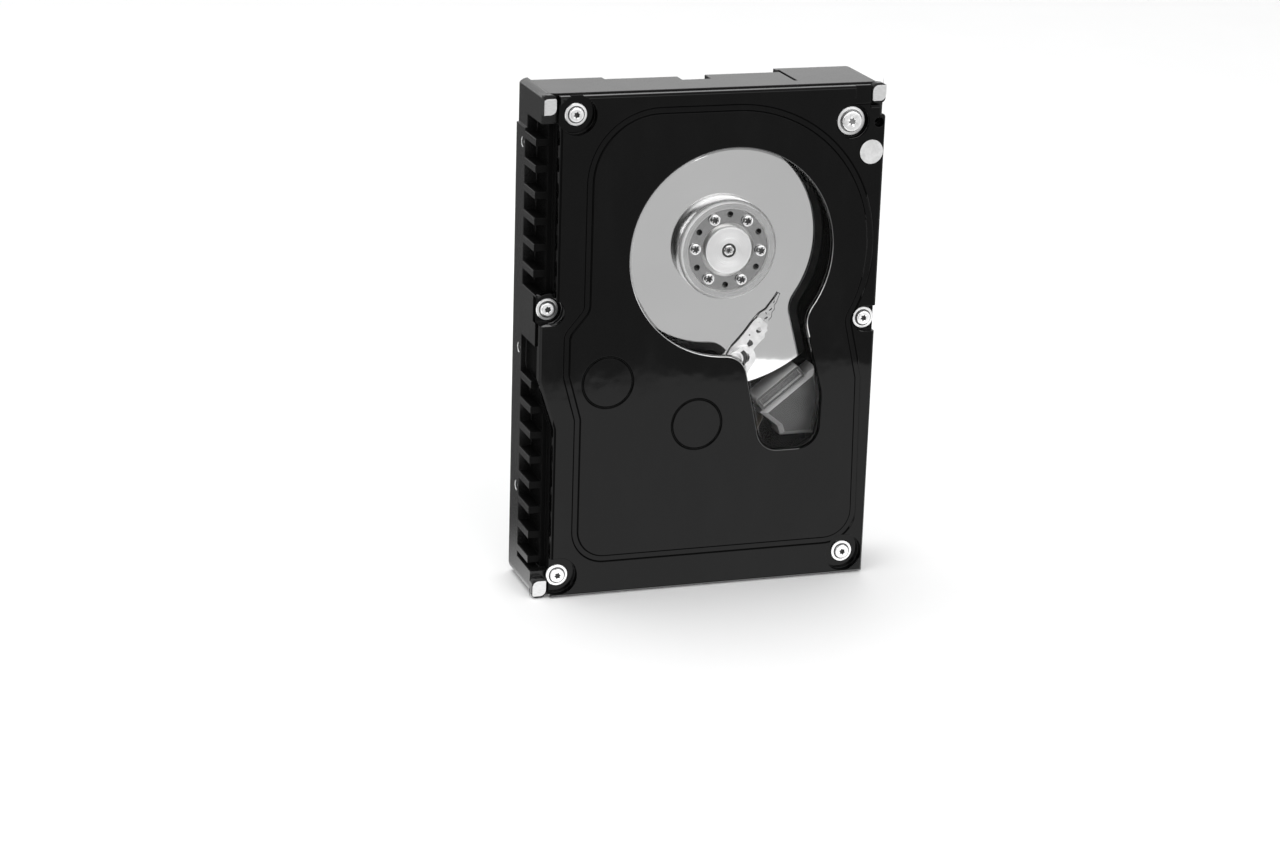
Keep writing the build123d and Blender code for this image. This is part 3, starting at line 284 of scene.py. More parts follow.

# %% [markdown]
# ## Black coat on the casting
#
# The base is a die casting in aluminium under a thin black electrophoretic coat.  The coat keeps
# the fine orange-peel of the casting, so highlights break up, and it is rubbed a little shiny in
# places.  It is left off where the casting is machined: on the pads at the corners and in the
# threaded holes, whose threads are painted dark in their roots as shade and bright on their crests
# as glints.  Those places are picked out here by where they are, in millimetres.  Between the
# cooling fins, and on the faces there that turn to the front, a dull black is laid over the coat as
# painted shade.

# %% Casting finish
side_hole_y, side_holes_z, side_hole_radius = 6.7, (28.5, 70.1, 130.1), 1.5
thread_pitch = 0.794

coat = Finish("casting_black", IOR=1.4)
x, y, z = coat.axes()
_, ny, _ = coat.facing()
peel = coat.noise(2.2, detail=4.0, roughness=0.55)
rub = coat.noise(0.07, detail=5.0, roughness=0.6)
corner_tops = (y < -11.93) * (ny < -0.5)
hole_depths = (x.size() > 46.9) * (x.size() < 50.75)
lower, middle_one, upper = [((z - hole_z) ** 2.0 + (y - side_hole_y) ** 2.0).root() for hole_z in side_holes_z]
threads = hole_depths * (lower.nearer(middle_one).nearer(upper) < side_hole_radius)
bare = corner_tops.either(threads)
grain = coat.noise(3.0, detail=3.0, stretch=(0.25, 1.0, 2.2))
black = coat.mix(rub.ramp(0.35, 0.75), grey(0.006), grey(0.012))
ridge = (x * (tau / thread_pitch)).sine()
machined = coat.mix(grain.ramp(0.3, 0.7), grey(0.58), grey(0.72))
# Painted shade and glint: thread roots are coloured dark and crests bright.
threaded = coat.mix(ridge.ramp(0.0, 0.6), grey(0.05), grey(0.85))
metal = coat.mix(threads, machined, threaded)
coat.set(Base_Color=coat.mix(bare, black, metal), Metallic=bare)
coat.set(Roughness=(0.17 + 0.10 * rub) * (1 - bare) + (0.42 + 0.16 * grain) * bare)
coat.relief(0.010 * peel * (1 - bare) + 0.004 * grain * bare + 0.05 * ridge * threads)
left_recess = (x < -43.0) * (y > -11.9) * (y < 4.3) * (z > 7.6) * (z < 138.4)
# Painted shade: a dull black over the coat between the fins and on the faces there that turn to the front.
painted_fin_shade = left_recess * (x > -50.2).either(ny < -0.6)
coat.cover_with(0.004, 0.9 * painted_fin_shade)
finishes["casting_black"] = coat.material
print("casting coat:", len(coat.tree.nodes), "nodes")

# %% [markdown]
# ## Gloss lacquer on the cover
#
# The cover is sheet-like, flat and lacquered, so it works as a dark mirror.  What sells it is how
# slightly wrong that mirror is: a long soft waviness in the lacquer that bends reflected edges,
# and faint wiping marks where the gloss changes a little.  The walls of the thin grooves pressed
# into it are told apart by the way they face, and a dull black is laid over them as painted shade.
# The edge of the window has a narrow rim where the lacquer is thin, and it is worn to bare metal
# beside the arm.

# %% Cover finish
lacquer = Finish("cover_gloss_black", IOR=1.3)
wave = lacquer.noise(0.055, detail=3.0, roughness=0.45)
wipe = lacquer.noise(0.09, detail=6.0, roughness=0.62, stretch=(1.0, 1.0, 0.45))
speck = lacquer.noise(2.6, detail=2.0)
x, y, z = lacquer.axes()
_, ny, _ = lacquer.facing()
round_window = lacquer.distance(spindle) < 36.0
lobe_window = (x > 9.0) * (x < 29.0) * (z > 32.0) * (z < 72.0)
by_window = round_window.either(lobe_window)
inside_panel = (ny > -0.97) * (x.size() < 46.0) * (z > 9.0) * (z < 143.0) * (y < -12.6)
# The groove walls, where painted shade is laid below.
groove = inside_panel * (1 - by_window)
worn = 0.12 + 0.88 * z.ramp(104.0, 86.0) * z.ramp(62.0, 70.0)
bare_rim = inside_panel * by_window * (y < -12.9) * worn
black = lacquer.mix(wipe.ramp(0.4, 0.8), grey(0.0008), grey(0.0022))
lacquer.set(Base_Color=lacquer.mix(bare_rim, black, grey(0.6)), Metallic=bare_rim)
lacquer.set(Roughness=0.06 + 0.08 * wipe.ramp(0.42, 0.78) + 0.08 * bare_rim)
lacquer.relief(0.16 * wave + 0.0012 * speck)
# Painted shade in the grooves: a dull black over the lacquer.
lacquer.cover_with(0.002, 0.9 * groove)
finishes["cover_gloss_black"] = lacquer.material
print("lacquer:", len(lacquer.tree.nodes), "nodes")

# %% [markdown]
# ## Clear window
#
# The window is a flat sheet of clear plastic.  Real refraction through a thin flat sheet hardly
# moves what is behind it, but it makes a path tracer work hard and darkens what it covers.  Mixing
# a see-through shader with a mirror, by the Fresnel law, gives the same picture: clear in the
# middle, with the room reflected in it, more so at a glancing angle.  The flat of the sheet has an
# anti-glare layer that takes most of the reflection away, and its bevel has none, but where the
# bevel faces left and not down its reflection is cut to about a sixth, as painted shade.  Light
# that is inside the sheet already meets no mirror, so the edges don't light up from within.

# %% Window finish
clear = Finish("window_clear", Base_Color=grey(1.0), Metallic=1.0)
haze = clear.noise(0.12, detail=5.0, roughness=0.6, stretch=(1.0, 1.0, 0.5))
clear.set(Roughness=0.01 + 0.05 * haze.ramp(0.5, 0.85))
nx, _, nz = clear.facing()
from_outside = 1 - clear.fact("ShaderNodeNewGeometry", "Backfacing")
# Painted shade: the bevel keeps full gloss only where it doesn't face left, or faces down.
full_gloss_side = (nx > -0.3).either(nz < -0.35)
bevel_gloss = clear.bevelled() * (0.08 + 0.42 * full_gloss_side)
flat_gloss = 0.22 * clear.add("ShaderNodeFresnel", None, 1.49)
see_through = clear.add("ShaderNodeBsdfTransparent", None, grey(0.99))
clear.show(clear.blend((flat_gloss + bevel_gloss) * from_outside, see_through, clear.own()))
finishes["window_clear"] = clear.material
print("window:", len(clear.tree.nodes), "nodes")

# %% [markdown]
# ## Mirror disks
#
# A disk is polished until its surface is smoother than glass, then sputtered with a metal film.
# It is the best mirror in the scene.  A faint texture of circular polishing lines is all that
# shows, and it only just softens reflections.

# %% Disk finish
disk = Finish("platter_mirror", Metallic=1.0)
reach = disk.distance(spindle)
lines = disk.add("ShaderNodeTexNoise", {"noise_dimensions": "1D"}, W=reach, Scale=1.4, Detail=4.0)
film = disk.noise(0.03, detail=2.0)
disk.set(Base_Color=disk.mix(film.ramp(0.3, 0.7), grey(0.88), grey(0.92)))
disk.set(Roughness=0.025 + 0.02 * lines)
disk.relief(0.0003 * lines)
finishes["platter_mirror"] = disk.material
print("disks:", len(disk.tree.nodes), "nodes")

# %% [markdown]
# ## Turned metal
#
# The clamp, its cap, the hub and the motor flange are turned on a lathe.  The tool leaves grooves
# in circles about the axis, and they spread a highlight into the bright fan that turned metal
# always shows.  The grooves are relief along the radius only, from a noise with one dimension, so
# one small function gives every turned part its own pitch, depth and tone.  Broken edges are
# tumbled to satin, and outer walls are a little rougher than the faces and painted darker, as
# painted shade.  A ring behind a given depth can be painted darker still, as shade in a recess.

# %% Turned finishes
def turned(name, dark, light, smooth, rough, pitch, depth, painted_shade_ring=None):
    """Metal with lathe grooves about the spindle, of a pitch and depth in millimetres.

    painted_shade_ring is (inner radius, outer radius, y, share): there, behind that y, the tone is
    darkened towards black by the share, as painted shade.
    """
    finish = Finish(name, Metallic=1.0)
    radius = finish.distance(spindle)
    groove = finish.add("ShaderNodeTexNoise", {"noise_dimensions": "1D"}, W=radius, Scale=1 / pitch, Detail=2.0)
    stain = finish.noise(0.35, detail=4.0)
    tone = finish.mix(0.6 * groove + 0.4 * stain, dark, light)
    if painted_shade_ring:
        inner, outer, level, share = painted_shade_ring
        _, y, _ = finish.axes()
        # Painted shade: a ring behind the given depth is darkened towards black.
        low = (radius > inner) * (radius < outer) * (y > level) * share
        tone = finish.mix(low, tone, grey(0.02))
    _, ny, _ = finish.facing()
    # Painted shade: outer walls are coloured darker than the faces.
    painted_shade_wall = (ny.size() < 0.3) * (radius > 13.0)
    tool_marks = smooth + (rough - smooth) * (0.5 * groove + 0.5 * stain)
    finish.set(Base_Color=finish.mix(0.45 * painted_shade_wall, tone, grey(0.08)))
    finish.set(Roughness=tool_marks + 0.35 * finish.bevelled() + 0.03 * painted_shade_wall)
    finish.relief(depth * groove)
    finishes[name] = finish.material


# The clamp's recess floor gets a painted shade.
turned(
    "clamp_steel", grey(0.62), grey(0.80), 0.12, 0.26,
    pitch=0.45, depth=0.008, painted_shade_ring=(7.8, 11.9, -9.2, 0.38),
)
turned("cap_brushed", grey(0.78), grey(0.90), 0.28, 0.40, pitch=0.26, depth=0.05)
# A ring of the hub's top, seen through the clamp's holes, gets a deep painted shade.
turned(
    "machined_aluminium", grey(0.62), (0.80, 0.80, 0.79), 0.22, 0.36,
    pitch=0.30, depth=0.010, painted_shade_ring=(8.4, 12.2, -7.6, 0.92),
)
print("turned finishes:", sorted(finishes))

# %% [markdown]
# ## Plated, ground and rolled metal
#
# Screws are cold headed and nickel plated, so they are bright with a little mottling and small
# tool marks.  Ground steel, rolled sheet, gold flash and nickel-plated magnets differ only in
# tone, in how rough they are and in which way their grain runs.

# %% Plated and rolled finishes
def plated(name, dark, light, smooth, rough, grain, stretch=(1.0, 1.0, 1.0), depth=0.004):
    """Metal with a mottled or stretched grain, stated in marks per millimetre."""
    finish = Finish(name, Metallic=1.0)
    mark = finish.noise(grain, detail=4.0, roughness=0.6, stretch=stretch)
    cloud = finish.noise(0.5, detail=3.0)
    finish.set(Base_Color=finish.mix((0.5 * mark + 0.5 * cloud).ramp(0.3, 0.7), dark, light))
    finish.set(Roughness=smooth + (rough - smooth) * mark)
    finish.relief(depth * mark)
    finishes[name] = finish.material


plated("screw_nickel", grey(0.89), grey(0.97), 0.3, 0.42, 2.4, depth=0.002)
plated("screw_burnished", grey(0.46), grey(0.78), 0.10, 0.3, 3.2, depth=0.03)
plated("socket_steel", grey(0.22), grey(0.36), 0.25, 0.4, 3.0, depth=0.002)
plated("foil_silver", grey(0.66), grey(0.80), 0.42, 0.56, 1.3, depth=0.008)
plated("bearing_steel", (0.42, 0.42, 0.43), grey(0.6), 0.18, 0.3, 2.0)
plated("yoke_steel", grey(0.5), (0.66, 0.66, 0.65), 0.2, 0.34, 1.6)
plated("magnet_nickel", (0.5, 0.5, 0.49), (0.64, 0.64, 0.62), 0.12, 0.26, 1.1)
plated("contact_gold", (0.72, 0.47, 0.16), (0.93, 0.68, 0.28), 0.16, 0.3, 3.0)
plated(
    "lamination_steel", (0.2, 0.2, 0.21), (0.36, 0.36, 0.37), 0.35, 0.5, 1.0,
    stretch=(0.3, 6.0, 0.3), depth=0.02,
)
plated("arm_aluminium", grey(0.72), grey(0.88), 0.36, 0.5, 1.2, stretch=(1.0, 1.0, 0.4))
plated("suspension_steel", grey(0.70), grey(0.90), 0.28, 0.42, 1.5, stretch=(0.6, 1.0, 2.0), depth=0.006)
plated("beam_bright", grey(0.80), grey(0.92), 0.10, 0.2, 1.2, stretch=(0.6, 1.0, 2.0), depth=0.003)
print("metals:", len(finishes))

# %% [markdown]
# ## Circuit board
#
# The board's outer side is nearly all solder mask.  Under it lie copper runs, which show as
# slightly raised, slightly lighter lines, in bundles that turn the same way.  Through-holes are
# small tinned rings on a grid.  Each bundle is a stripe pattern, and a coarse cell pattern chooses
# whether stripes run along the board, across it or not at all.

# %% Board finish
run_pitch, via_pitch = 0.62, 2.54

board = Finish("board_mask", IOR=1.5, Coat_Weight=0.4, Coat_Roughness=0.12)
x, _, z = board.axes()
flat = board.point((1.0, 0.0, 1.0))
cells = board.add("ShaderNodeTexVoronoi", None, out=1, Vector=flat, Scale=0.09, Randomness=0.8)
choice = board.add("ShaderNodeSeparateColor", None, cells).socket.node
run_choice, via_choice = Value(board, choice.outputs[0]), Value(board, choice.outputs[1])
along = ((x / run_pitch).fraction() - 0.5).size() < 0.2
across = ((z / run_pitch).fraction() - 0.5).size() < 0.2
copper_run = along * (run_choice < 0.42) + across * (run_choice > 0.58)
hole_x = ((x / via_pitch).fraction() - 0.5) * via_pitch
hole_z = ((z / via_pitch).fraction() - 0.5) * via_pitch
hole_reach = (hole_x * hole_x + hole_z * hole_z).root()
via_here = via_choice > 0.62
via_ring = (hole_reach < 0.42) * via_here
# Painted shade: the middle of each via is coloured near black for the hole.
via_hole_shade = (hole_reach < 0.17) * via_here
mask_tone = board.mix(copper_run, (0.006, 0.042, 0.026), (0.012, 0.075, 0.042))
tinned = board.mix(via_ring, mask_tone, (0.72, 0.70, 0.62))
board.set(Base_Color=board.mix(via_hole_shade, tinned, grey(0.01)))
board.set(Metallic=via_ring * (1 - via_hole_shade))
board.set(Roughness=0.28 + 0.1 * board.noise(1.2))
board.relief(0.03 * copper_run + 0.03 * via_ring - 0.06 * via_hole_shade)
finishes["board_mask"] = board.material
print("board:", len(board.tree.nodes), "nodes")

# %% [markdown]
# ## Moulded plastic, rubber and film
#
# Moulded parts take the texture of their mould: a fine even grain, with flow lines that change the
# gloss slowly.  Rubber is the same idea with less gloss.  The flex film and the bonding film are
# smooth, with the conductors showing through the film as stripes.

# %% Plastic finishes
def moulded(name, dark, light, smooth, rough, grain=2.5, depth=0.006, edge=None):
    """Plastic or rubber with the fine grain of its mould and slow changes of tone.

    edge is the tone of faces that are turned away from the front and back, if it differs: a painted
    highlight on bevels.
    """
    finish = Finish(name)
    fine = finish.noise(grain, detail=3.0)
    flow = finish.noise(0.16, detail=3.0)
    tone = finish.mix((0.35 * fine + 0.65 * flow).ramp(0.3, 0.7), dark, light)
    if edge:
        _, ny, _ = finish.facing()
        tone = finish.mix(ny.size() < 0.96, tone, edge)
    finish.set(Base_Color=tone)
    finish.set(Roughness=smooth + (rough - smooth) * fine)
    finish.relief(depth * fine)
    finishes[name] = finish.material


moulded("bond_black", grey(0.008), grey(0.014), 0.5, 0.7)
moulded("gasket_rubber", grey(0.012), grey(0.022), 0.6, 0.8, 3.0, 0.012)
moulded("chip_black", (0.014, 0.014, 0.015), (0.024, 0.024, 0.025), 0.45, 0.62, 4.0)
moulded("connector_black", (0.01, 0.01, 0.011), (0.019, 0.019, 0.02), 0.34, 0.5)
# The bracket's bevels are coloured light grey, a painted highlight.
moulded("bracket_grey", grey(0.045), grey(0.07), 0.26, 0.38, 1.8, 0.004, edge=grey(0.42))
moulded("frame_plastic", (0.42, 0.35, 0.23), (0.55, 0.47, 0.33), 0.38, 0.52)
moulded("slider_ceramic", (0.05, 0.05, 0.052), (0.09, 0.09, 0.092), 0.15, 0.25, 6.0, 0.001)
moulded("socket_dark", grey(0.02), grey(0.05), 0.3, 0.5, 3.0, 0.004)

film = Finish("flex_amber", IOR=1.6, Coat_Weight=0.5, Coat_Roughness=0.1)
_, y, _ = film.axes()
conductor = ((y / 0.5).fraction() - 0.5).size() < 0.27
film.set(Base_Color=film.mix(conductor, (0.045, 0.034, 0.024), (0.15, 0.115, 0.08)))
film.set(Roughness=0.24 + 0.12 * film.noise(1.0), Metallic=0.35 * conductor)
film.relief(0.012 * conductor)
finishes["flex_amber"] = film.material
print("plastics done:", len(finishes))

# %% [markdown]
# ## Windings, foam and filter cloth
#
# A winding is a bundle of enamelled wire, so its surface is a row of fine ridges.  Foam is open
# cells and the filter is felt: both scatter light, so their noise is coarse, deep and dull.

# %% Last finishes
winding = Finish("coil_copper", Metallic=1.0, Coat_Weight=0.5, Coat_Roughness=0.15)
_, y, _ = winding.axes()
wire = 0.24
turns = ((y / wire + 0.4 * winding.noise(0.4)) * tau).sine()
# Painted shade and highlight: the wire is coloured dark between the turns and bright on their crowns.
winding.set(Base_Color=winding.mix(turns.ramp(-0.6, 0.8), (0.28, 0.09, 0.035), (0.74, 0.35, 0.17)))
winding.set(Roughness=0.26 + 0.14 * winding.noise(2.0))
winding.relief(0.03 * turns)
finishes["coil_copper"] = winding.material


def fibrous(name, dark, light, scale, depth):
    """Foam or felt: coarse dull noise with deep relief."""
    finish = Finish(name, Roughness=0.95, Sheen_Weight=0.3)
    cell = finish.add("ShaderNodeTexVoronoi", None, Vector=finish.point(), Scale=scale)
    strand = finish.noise(scale, detail=5.0, roughness=0.7)
    finish.set(Base_Color=finish.mix((cell + 0.6 * strand).ramp(0.2, 1.0), dark, light))
    finish.relief(depth * (cell + strand))
    finishes[name] = finish.material


fibrous("foam_grey", (0.02, 0.02, 0.021), (0.07, 0.07, 0.074), scale=1.6, depth=0.12)
# The filter felt is coloured dark grey: a white cloth painted in shade.
fibrous("filter_fabric", grey(0.05), grey(0.16), scale=2.4, depth=0.06)
print("finishes:", len(finishes))

# %% [markdown]
# ## Hand the finishes to the solids
#
# The record says which slot each solid takes its finish from, so one loop dresses them all.  The
# imported meshes are split where the CAD faces meet.  A weld joins them again without moving
# anything, and a small bevel on the hard edges of the cast, pressed and turned pieces gives each
# edge the thin line of light that a real edge has.  The long thin triangles of the casting's flat
# faces are merged first, because a bevel shades them badly.

# %% Dress the solids
slots = {entry["node"]: entry["material_slot"] for entry in record["subparts"]}
edge_rounds = {"base_casting": 0.14, "top_cover": 0.12, "spindle_cap": 0.12, "filter_holder": 0.1}
weld_reach = 0.001 * mm

for name, piece in frame["nodes"].items():
    piece.data.materials.clear()
    piece.data.materials.append(finishes[slots[name]])
    weld = piece.modifiers.new("weld", "WELD")
    weld.merge_threshold = weld_reach
    if name == "base_casting":
        merge = piece.modifiers.new("merge", "DECIMATE")
        merge.decimate_type = "DISSOLVE"
        merge.angle_limit = radians(0.2)
    if name in edge_rounds:
        edge = piece.modifiers.new("edge", "BEVEL")
        edge.width = edge_rounds[name] * mm
        edge.segments = 2
        edge.limit_method = "ANGLE"
        edge.angle_limit = radians(40)
        edge.use_clamp_overlap = False
        edge.harden_normals = True
print("dressed", len(frame["nodes"]), "solids")

# %% [markdown]
# ## Screws with a six-lobed recess
#
# A screw head is a turned shape with one thing that a lathe can't make: the star-shaped socket that
# was pressed into it.  A list of rings describes both.  Each ring has a radius, a height over the
# seat and how deeply its outline waves six times round, and the wall between two rings follows.
# The screws stand where the solids of the CAD model say, so the code first finds the separate
# bodies in a node and takes their boxes.

# %% Rings to a mesh
def bodies_in(node):
    """Lowest and highest corner of each separate body in a CAD node, in millimetres."""
    work = bmesh.new()
    work.from_mesh(frame["nodes"][node].data)
    bmesh.ops.remove_doubles(work, verts=work.verts, dist=weld_reach)
    left, boxes = set(work.verts), []
    while left:
        found, edge = set(), [left.pop()]
        while edge:
            vert = edge.pop()
            found.add(vert)
            for line in vert.link_edges:
                other = line.other_vert(vert)
                if other in left:
                    left.discard(other)
                    edge.append(other)
        corners = [vert.co / mm for vert in found]
        low = Vector([min(corner[axis] for corner in corners) for axis in range(3)])
        high = Vector([max(corner[axis] for corner in corners) for axis in range(3)])
        boxes.append((low, high))
    work.free()
    return sorted(boxes, key=lambda box: (round(box[0].z, 1), round(box[0].x, 1)))


def turn_rings(work, rings, place, front, turn=0.0, count=48):
    """Adds the wall through rings of (radius, height, wave, dark) to a mesh, closed at both ends.

    front is -1 or 1, the way along y that heights grow.  A dark ring takes the second material, which
    paints shade on it.
    """
    loops = []
    for radius, height, wave, dark in rings:
        loop = []
        for step in range(count):
            angle = tau * step / count
            reach = radius * (1 + wave * cos(6 * angle))
            side = Vector((reach * cos(angle + turn), front * height, reach * sin(angle + turn)))
            loop.append(work.verts.new((Vector(place) + side) * mm))
        loops.append((loop, dark))
    for (lower, _), (upper, dark) in zip(loops, loops[1:]):
        for step in range(count):
            after = (step + 1) % count
            corners = [lower[step], lower[after], upper[after], upper[step]]
            face = work.faces.new(corners if front > 0 else corners[::-1])
            face.material_index = int(dark)
    for (loop, dark), flip in ((loops[0], False), (loops[-1], True)):
        face = work.faces.new(loop if flip == (front < 0) else loop[::-1])
        face.material_index = int(dark)


def to_piece(name, work, materials, sharp=32):
    """A scene object from a worked mesh, smooth but for its sharp edges."""
    bmesh.ops.recalc_face_normals(work, faces=work.faces)
    mesh = bpy.data.meshes.new(name)
    work.to_mesh(mesh)
    work.free()
    mesh.shade_smooth()
    mesh.set_sharp_from_angle(angle=radians(sharp))
    for material in materials:
        mesh.materials.append(finishes[material])
    piece = bpy.data.objects.new(name, mesh)
    bpy.context.scene.collection.objects.link(piece)
    return piece


# %% The rings of a screw
def bright(*rings):
    """Round rings of (radius, height) in the screw's own metal."""
    return [(radius, height, 0, False) for radius, height in rings]


# Dark rings carry painted shade, in the second material.
def dark(*rings):
    """Round rings of (radius, height) in the second material."""
    return [(radius, height, 0, True) for radius, height in rings]


def stem(shank, reach):
    return bright((shank * 0.72, -reach), (shank, -reach + 0.35), (shank, 0.0))


# The floor and lower walls of a socket are dark rings: painted shade in the recess.
def socket_rings(radius, top, depth, wave=0.16):
    """Rings of a six-lobed socket, from its worn rim to its floor."""
    return [
        (radius * 1.14, top, wave * 0.6, False), (radius, top - 0.08, wave, False),
        (radius * 0.96, top - 0.9 * depth, wave, True), (radius * 0.32, top - depth, 0, True),
    ]


def flanged_rings(radius, reach, height, head, socket, deep=0.9):
    """A cover screw: a flange as wide as the seat, a narrower head and the step between them."""
    flange = bright(
        (radius - 0.12, 0.0), (radius, 0.12), (radius, 0.48), (radius - 0.12, 0.6), (head + 0.34, 0.66),
    )
    # Painted shade: the step between flange and head is coloured dark.
    step = dark((head + 0.3, 0.6), (head + 0.06, 0.6))
    crown = bright(
        (head, 0.72), (head, height - 0.34), (head - 0.09, height - 0.16), (head - 0.28, height - 0.04),
        (head - 0.5, height),
    )
    return stem(1.5, reach) + flange + step + crown + socket_rings(socket, height, deep)


def pan_rings(radius, reach, height, shank, socket, crown=0.35, wave=0.16):
    """A small screw with a domed head."""
    head = bright(
        (radius - 0.05, 0.0), (radius, 0.06), (radius, 0.45 * height), (radius - 0.3 * crown, 0.78 * height),
        (radius - crown, height),
    )
    return stem(shank, reach) + head + socket_rings(socket, height, 0.62 * height, wave)


def ringed_rings(radius, reach, height):
    """The screw of the cap: a dark rim and moat with a star-headed boss inside them."""
    # Painted shade: the rim and moat round the boss are coloured dark.
    rim = dark((radius, 0.0), (radius, height - 0.02), (radius - 0.05, height))
    moat = dark((radius - 0.12, height - 0.25), (1.5, height - 0.25))
    boss = [(1.42, height - 0.08, 0.06, False), (1.2, height, 0.1, False)]
    return stem(1.0, reach) + rim + moat + boss + socket_rings(0.62, height, 0.4, 0.24)


# %% One piece for the screws of each node
# The floor finish is the second material, painted shade on the dark rings: sockets, steps and moats.
def screws(name, node, body, front, height, rings, floor="socket_dark", skin="screw_nickel", **shape):
    """One piece for all screws of a node, each turned a little further than the last."""
    work = bmesh.new()
    boxes = bodies_in(node)
    for index, (low, high) in enumerate(boxes):
        top = low.y if front < 0 else high.y
        seat = ((low.x + high.x) / 2, top - front * height, (low.z + high.z) / 2)
        reach = high.y - low.y - height
        outline = rings((high.x - low.x) / 2, reach, height, **shape)
        turn_rings(work, outline, seat, front, turn=0.55 * index + 0.2)
    piece = to_piece(name, work, [skin, floor])
    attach(piece, body)
    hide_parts(node)
    print(name, "x", len(boxes), ":", len(piece.data.polygons), "faces")


screws("cover_screw_heads", "cover_screws", "root", -1, 1.5, flanged_rings, head=2.1, socket=0.8)
# The lock screw's socket takes a dark steel, a lighter painted shade.
screws(
    "lock_screw_head", "lock_screw", "root", -1, 1.7, flanged_rings, floor="socket_steel",
    head=3.0, socket=0.9, deep=0.3,
)
screws("board_screw_heads", "board_screws", "root", 1, 1.1, pan_rings, shank=1.0, socket=0.85)
screws("flange_screw_heads", "flange_screws", "root", 1, 1.0, pan_rings, shank=0.95, socket=0.72)
screws("yoke_screw_heads", "yoke_screws", "root", -1, 1.2, pan_rings, shank=1.2, socket=1.1)
screws(
    "clamp_screw_heads", "clamp_screws", "spindle", -1, 0.9, pan_rings, skin="screw_burnished",
    shank=0.9, socket=0.9, crown=0.62, wave=0.24,
)
screws("cap_screw_head", "cap_screw", "spindle", -1, 0.7, ringed_rings, skin="screw_burnished")

# %% [markdown]
# ## Suspensions
#
# Each arm ends in a suspension, made from stainless sheet a tenth of a millimetre thick.  A stiff
# base plate is swaged onto the arm, a thin load beam reaches on to the head, and rails folded up
# along its edges keep it straight.  Such a part is an outline with holes in it, so a flat curve
# with a little thickness makes it: Blender fills the outer loop and leaves the inner loops open.
# The curve is drawn in millimetres and shrunk afterwards, because the filling of a curve loses
# points that lie very near each other.

# %% Sheet metal from outlines
def rounded(points, radius):
    """The loop through some points with its corners rounded off."""
    loop = []
    for index, point in enumerate(points):
        corner = Vector(point)
        ends = []
        for other in (points[index - 1], points[(index + 1) % len(points)]):
            away = Vector(other) - corner
            ends.append(corner + away.normalized() * min(radius, 0.45 * away.length))
        for share in (0.0, 0.3, 0.5, 0.7, 1.0):
            loop.append(ends[0].lerp(corner, share).lerp(corner.lerp(ends[1], share), share))
    return loop


def oval(center, width, height=None, turn=0.0, count=20):
    """A round or oval loop."""
    height = height or width
    loop = []
    for step in range(count):
        angle = tau * step / count
        across, along = width / 2 * cos(angle), height / 2 * sin(angle)
        turned_across = center[0] + across * cos(turn) - along * sin(turn)
        turned_along = center[1] + across * sin(turn) + along * cos(turn)
        loop.append((turned_across, turned_along))
    return loop


def crescent(outer, inner, first, last, count=12):
    """The loop between two arcs of (x, y, radius), over some angles in degrees."""
    angles = [radians(first + (last - first) * step / (count - 1)) for step in range(count)]
    loop = []
    for (x, y, radius), order in ((outer, angles), (inner, angles[::-1])):
        loop += [(x + radius * cos(angle), y + radius * sin(angle)) for angle in order]
    return loop


def cut_sheet(loops, thickness, softness=0.02):
    """Sheet metal in a flat plane, in millimetres: the first loop is the outline."""
    curve = bpy.data.curves.new("sheet", "CURVE")
    curve.dimensions = "2D"
    curve.fill_mode = "BOTH"
    curve.extrude = thickness / 2 - softness
    curve.bevel_depth = softness
    curve.bevel_resolution = 1
    curve.offset = -softness
    for loop in loops:
        spline = curve.splines.new("POLY")
        spline.points.add(len(loop) - 1)
        for point, (along, across) in zip(spline.points, loop):
            point.co = (along, across, 0.0, 1.0)
        spline.use_cyclic_u = True
    holder = bpy.data.objects.new("sheet", curve)
    mesh = bpy.data.meshes.new_from_object(holder)
    bpy.data.objects.remove(holder)
    return mesh


def strip(points, width):
    """The loop round a line of points, a narrow strip that is cut as a rail."""
    points = [Vector(point) for point in points]
    sides = []
    for index, point in enumerate(points):
        run = (points[min(index + 1, len(points) - 1)] - points[max(index - 1, 0)]).normalized()
        sides.append(Vector((-run.y, run.x)) * width / 2)
    one_side = [point + side for point, side in zip(points, sides)]
    other_side = [point - side for point, side in zip(points, sides)]
    return one_side + other_side[::-1]


# %% The outlines of a suspension
base_outline = rounded([
    (-4.6, 3.6), (-1.5, 4.7), (0.6, 4.7), (3.0, 4.0), (6.1, 3.3), (10.4, 2.7), (11.6, 2.3), (12.3, 1.0),
    (11.7, -0.4), (11.6, -1.9), (10.6, -2.1), (9.9, -2.9), (8.9, -2.4), (7.9, -3.1), (6.6, -2.6), (3.2, -1.8),
    (0.6, -2.8), (-4.6, -3.2),
], 0.35)
base_holes = [
    rounded([
        (7.9, -0.3), (8.3, 0.55), (8.9, 0.35), (9.6, 0.5), (9.9, -0.3), (9.4, -0.7), (9.1, -1.3), (8.4, -1.0),
    ], 0.25),
    rounded([(3.3, -0.1), (3.8, 1.0), (4.6, 0.8), (5.3, 0.95), (5.2, -0.2), (4.6, -0.9), (3.9, -0.7)], 0.35),
    oval((6.4, 1.55), 0.5),
    oval((10.9, 1.0), 0.42),
]
beam_outline = rounded([
    (8.8, 2.3), (13.2, 2.1), (13.9, 1.8), (15.1, 1.0), (16.0, 0.75), (17.0, 0.85), (18.8, 0.45), (20.6, 0.3),
    (21.2, -0.05), (20.6, -0.35), (18.4, -0.7), (17.2, -0.55), (16.4, -1.25), (15.2, -1.0), (14.0, -1.65),
    (12.6, -1.35), (11.6, -1.7), (8.8, -1.9),
], 0.3)
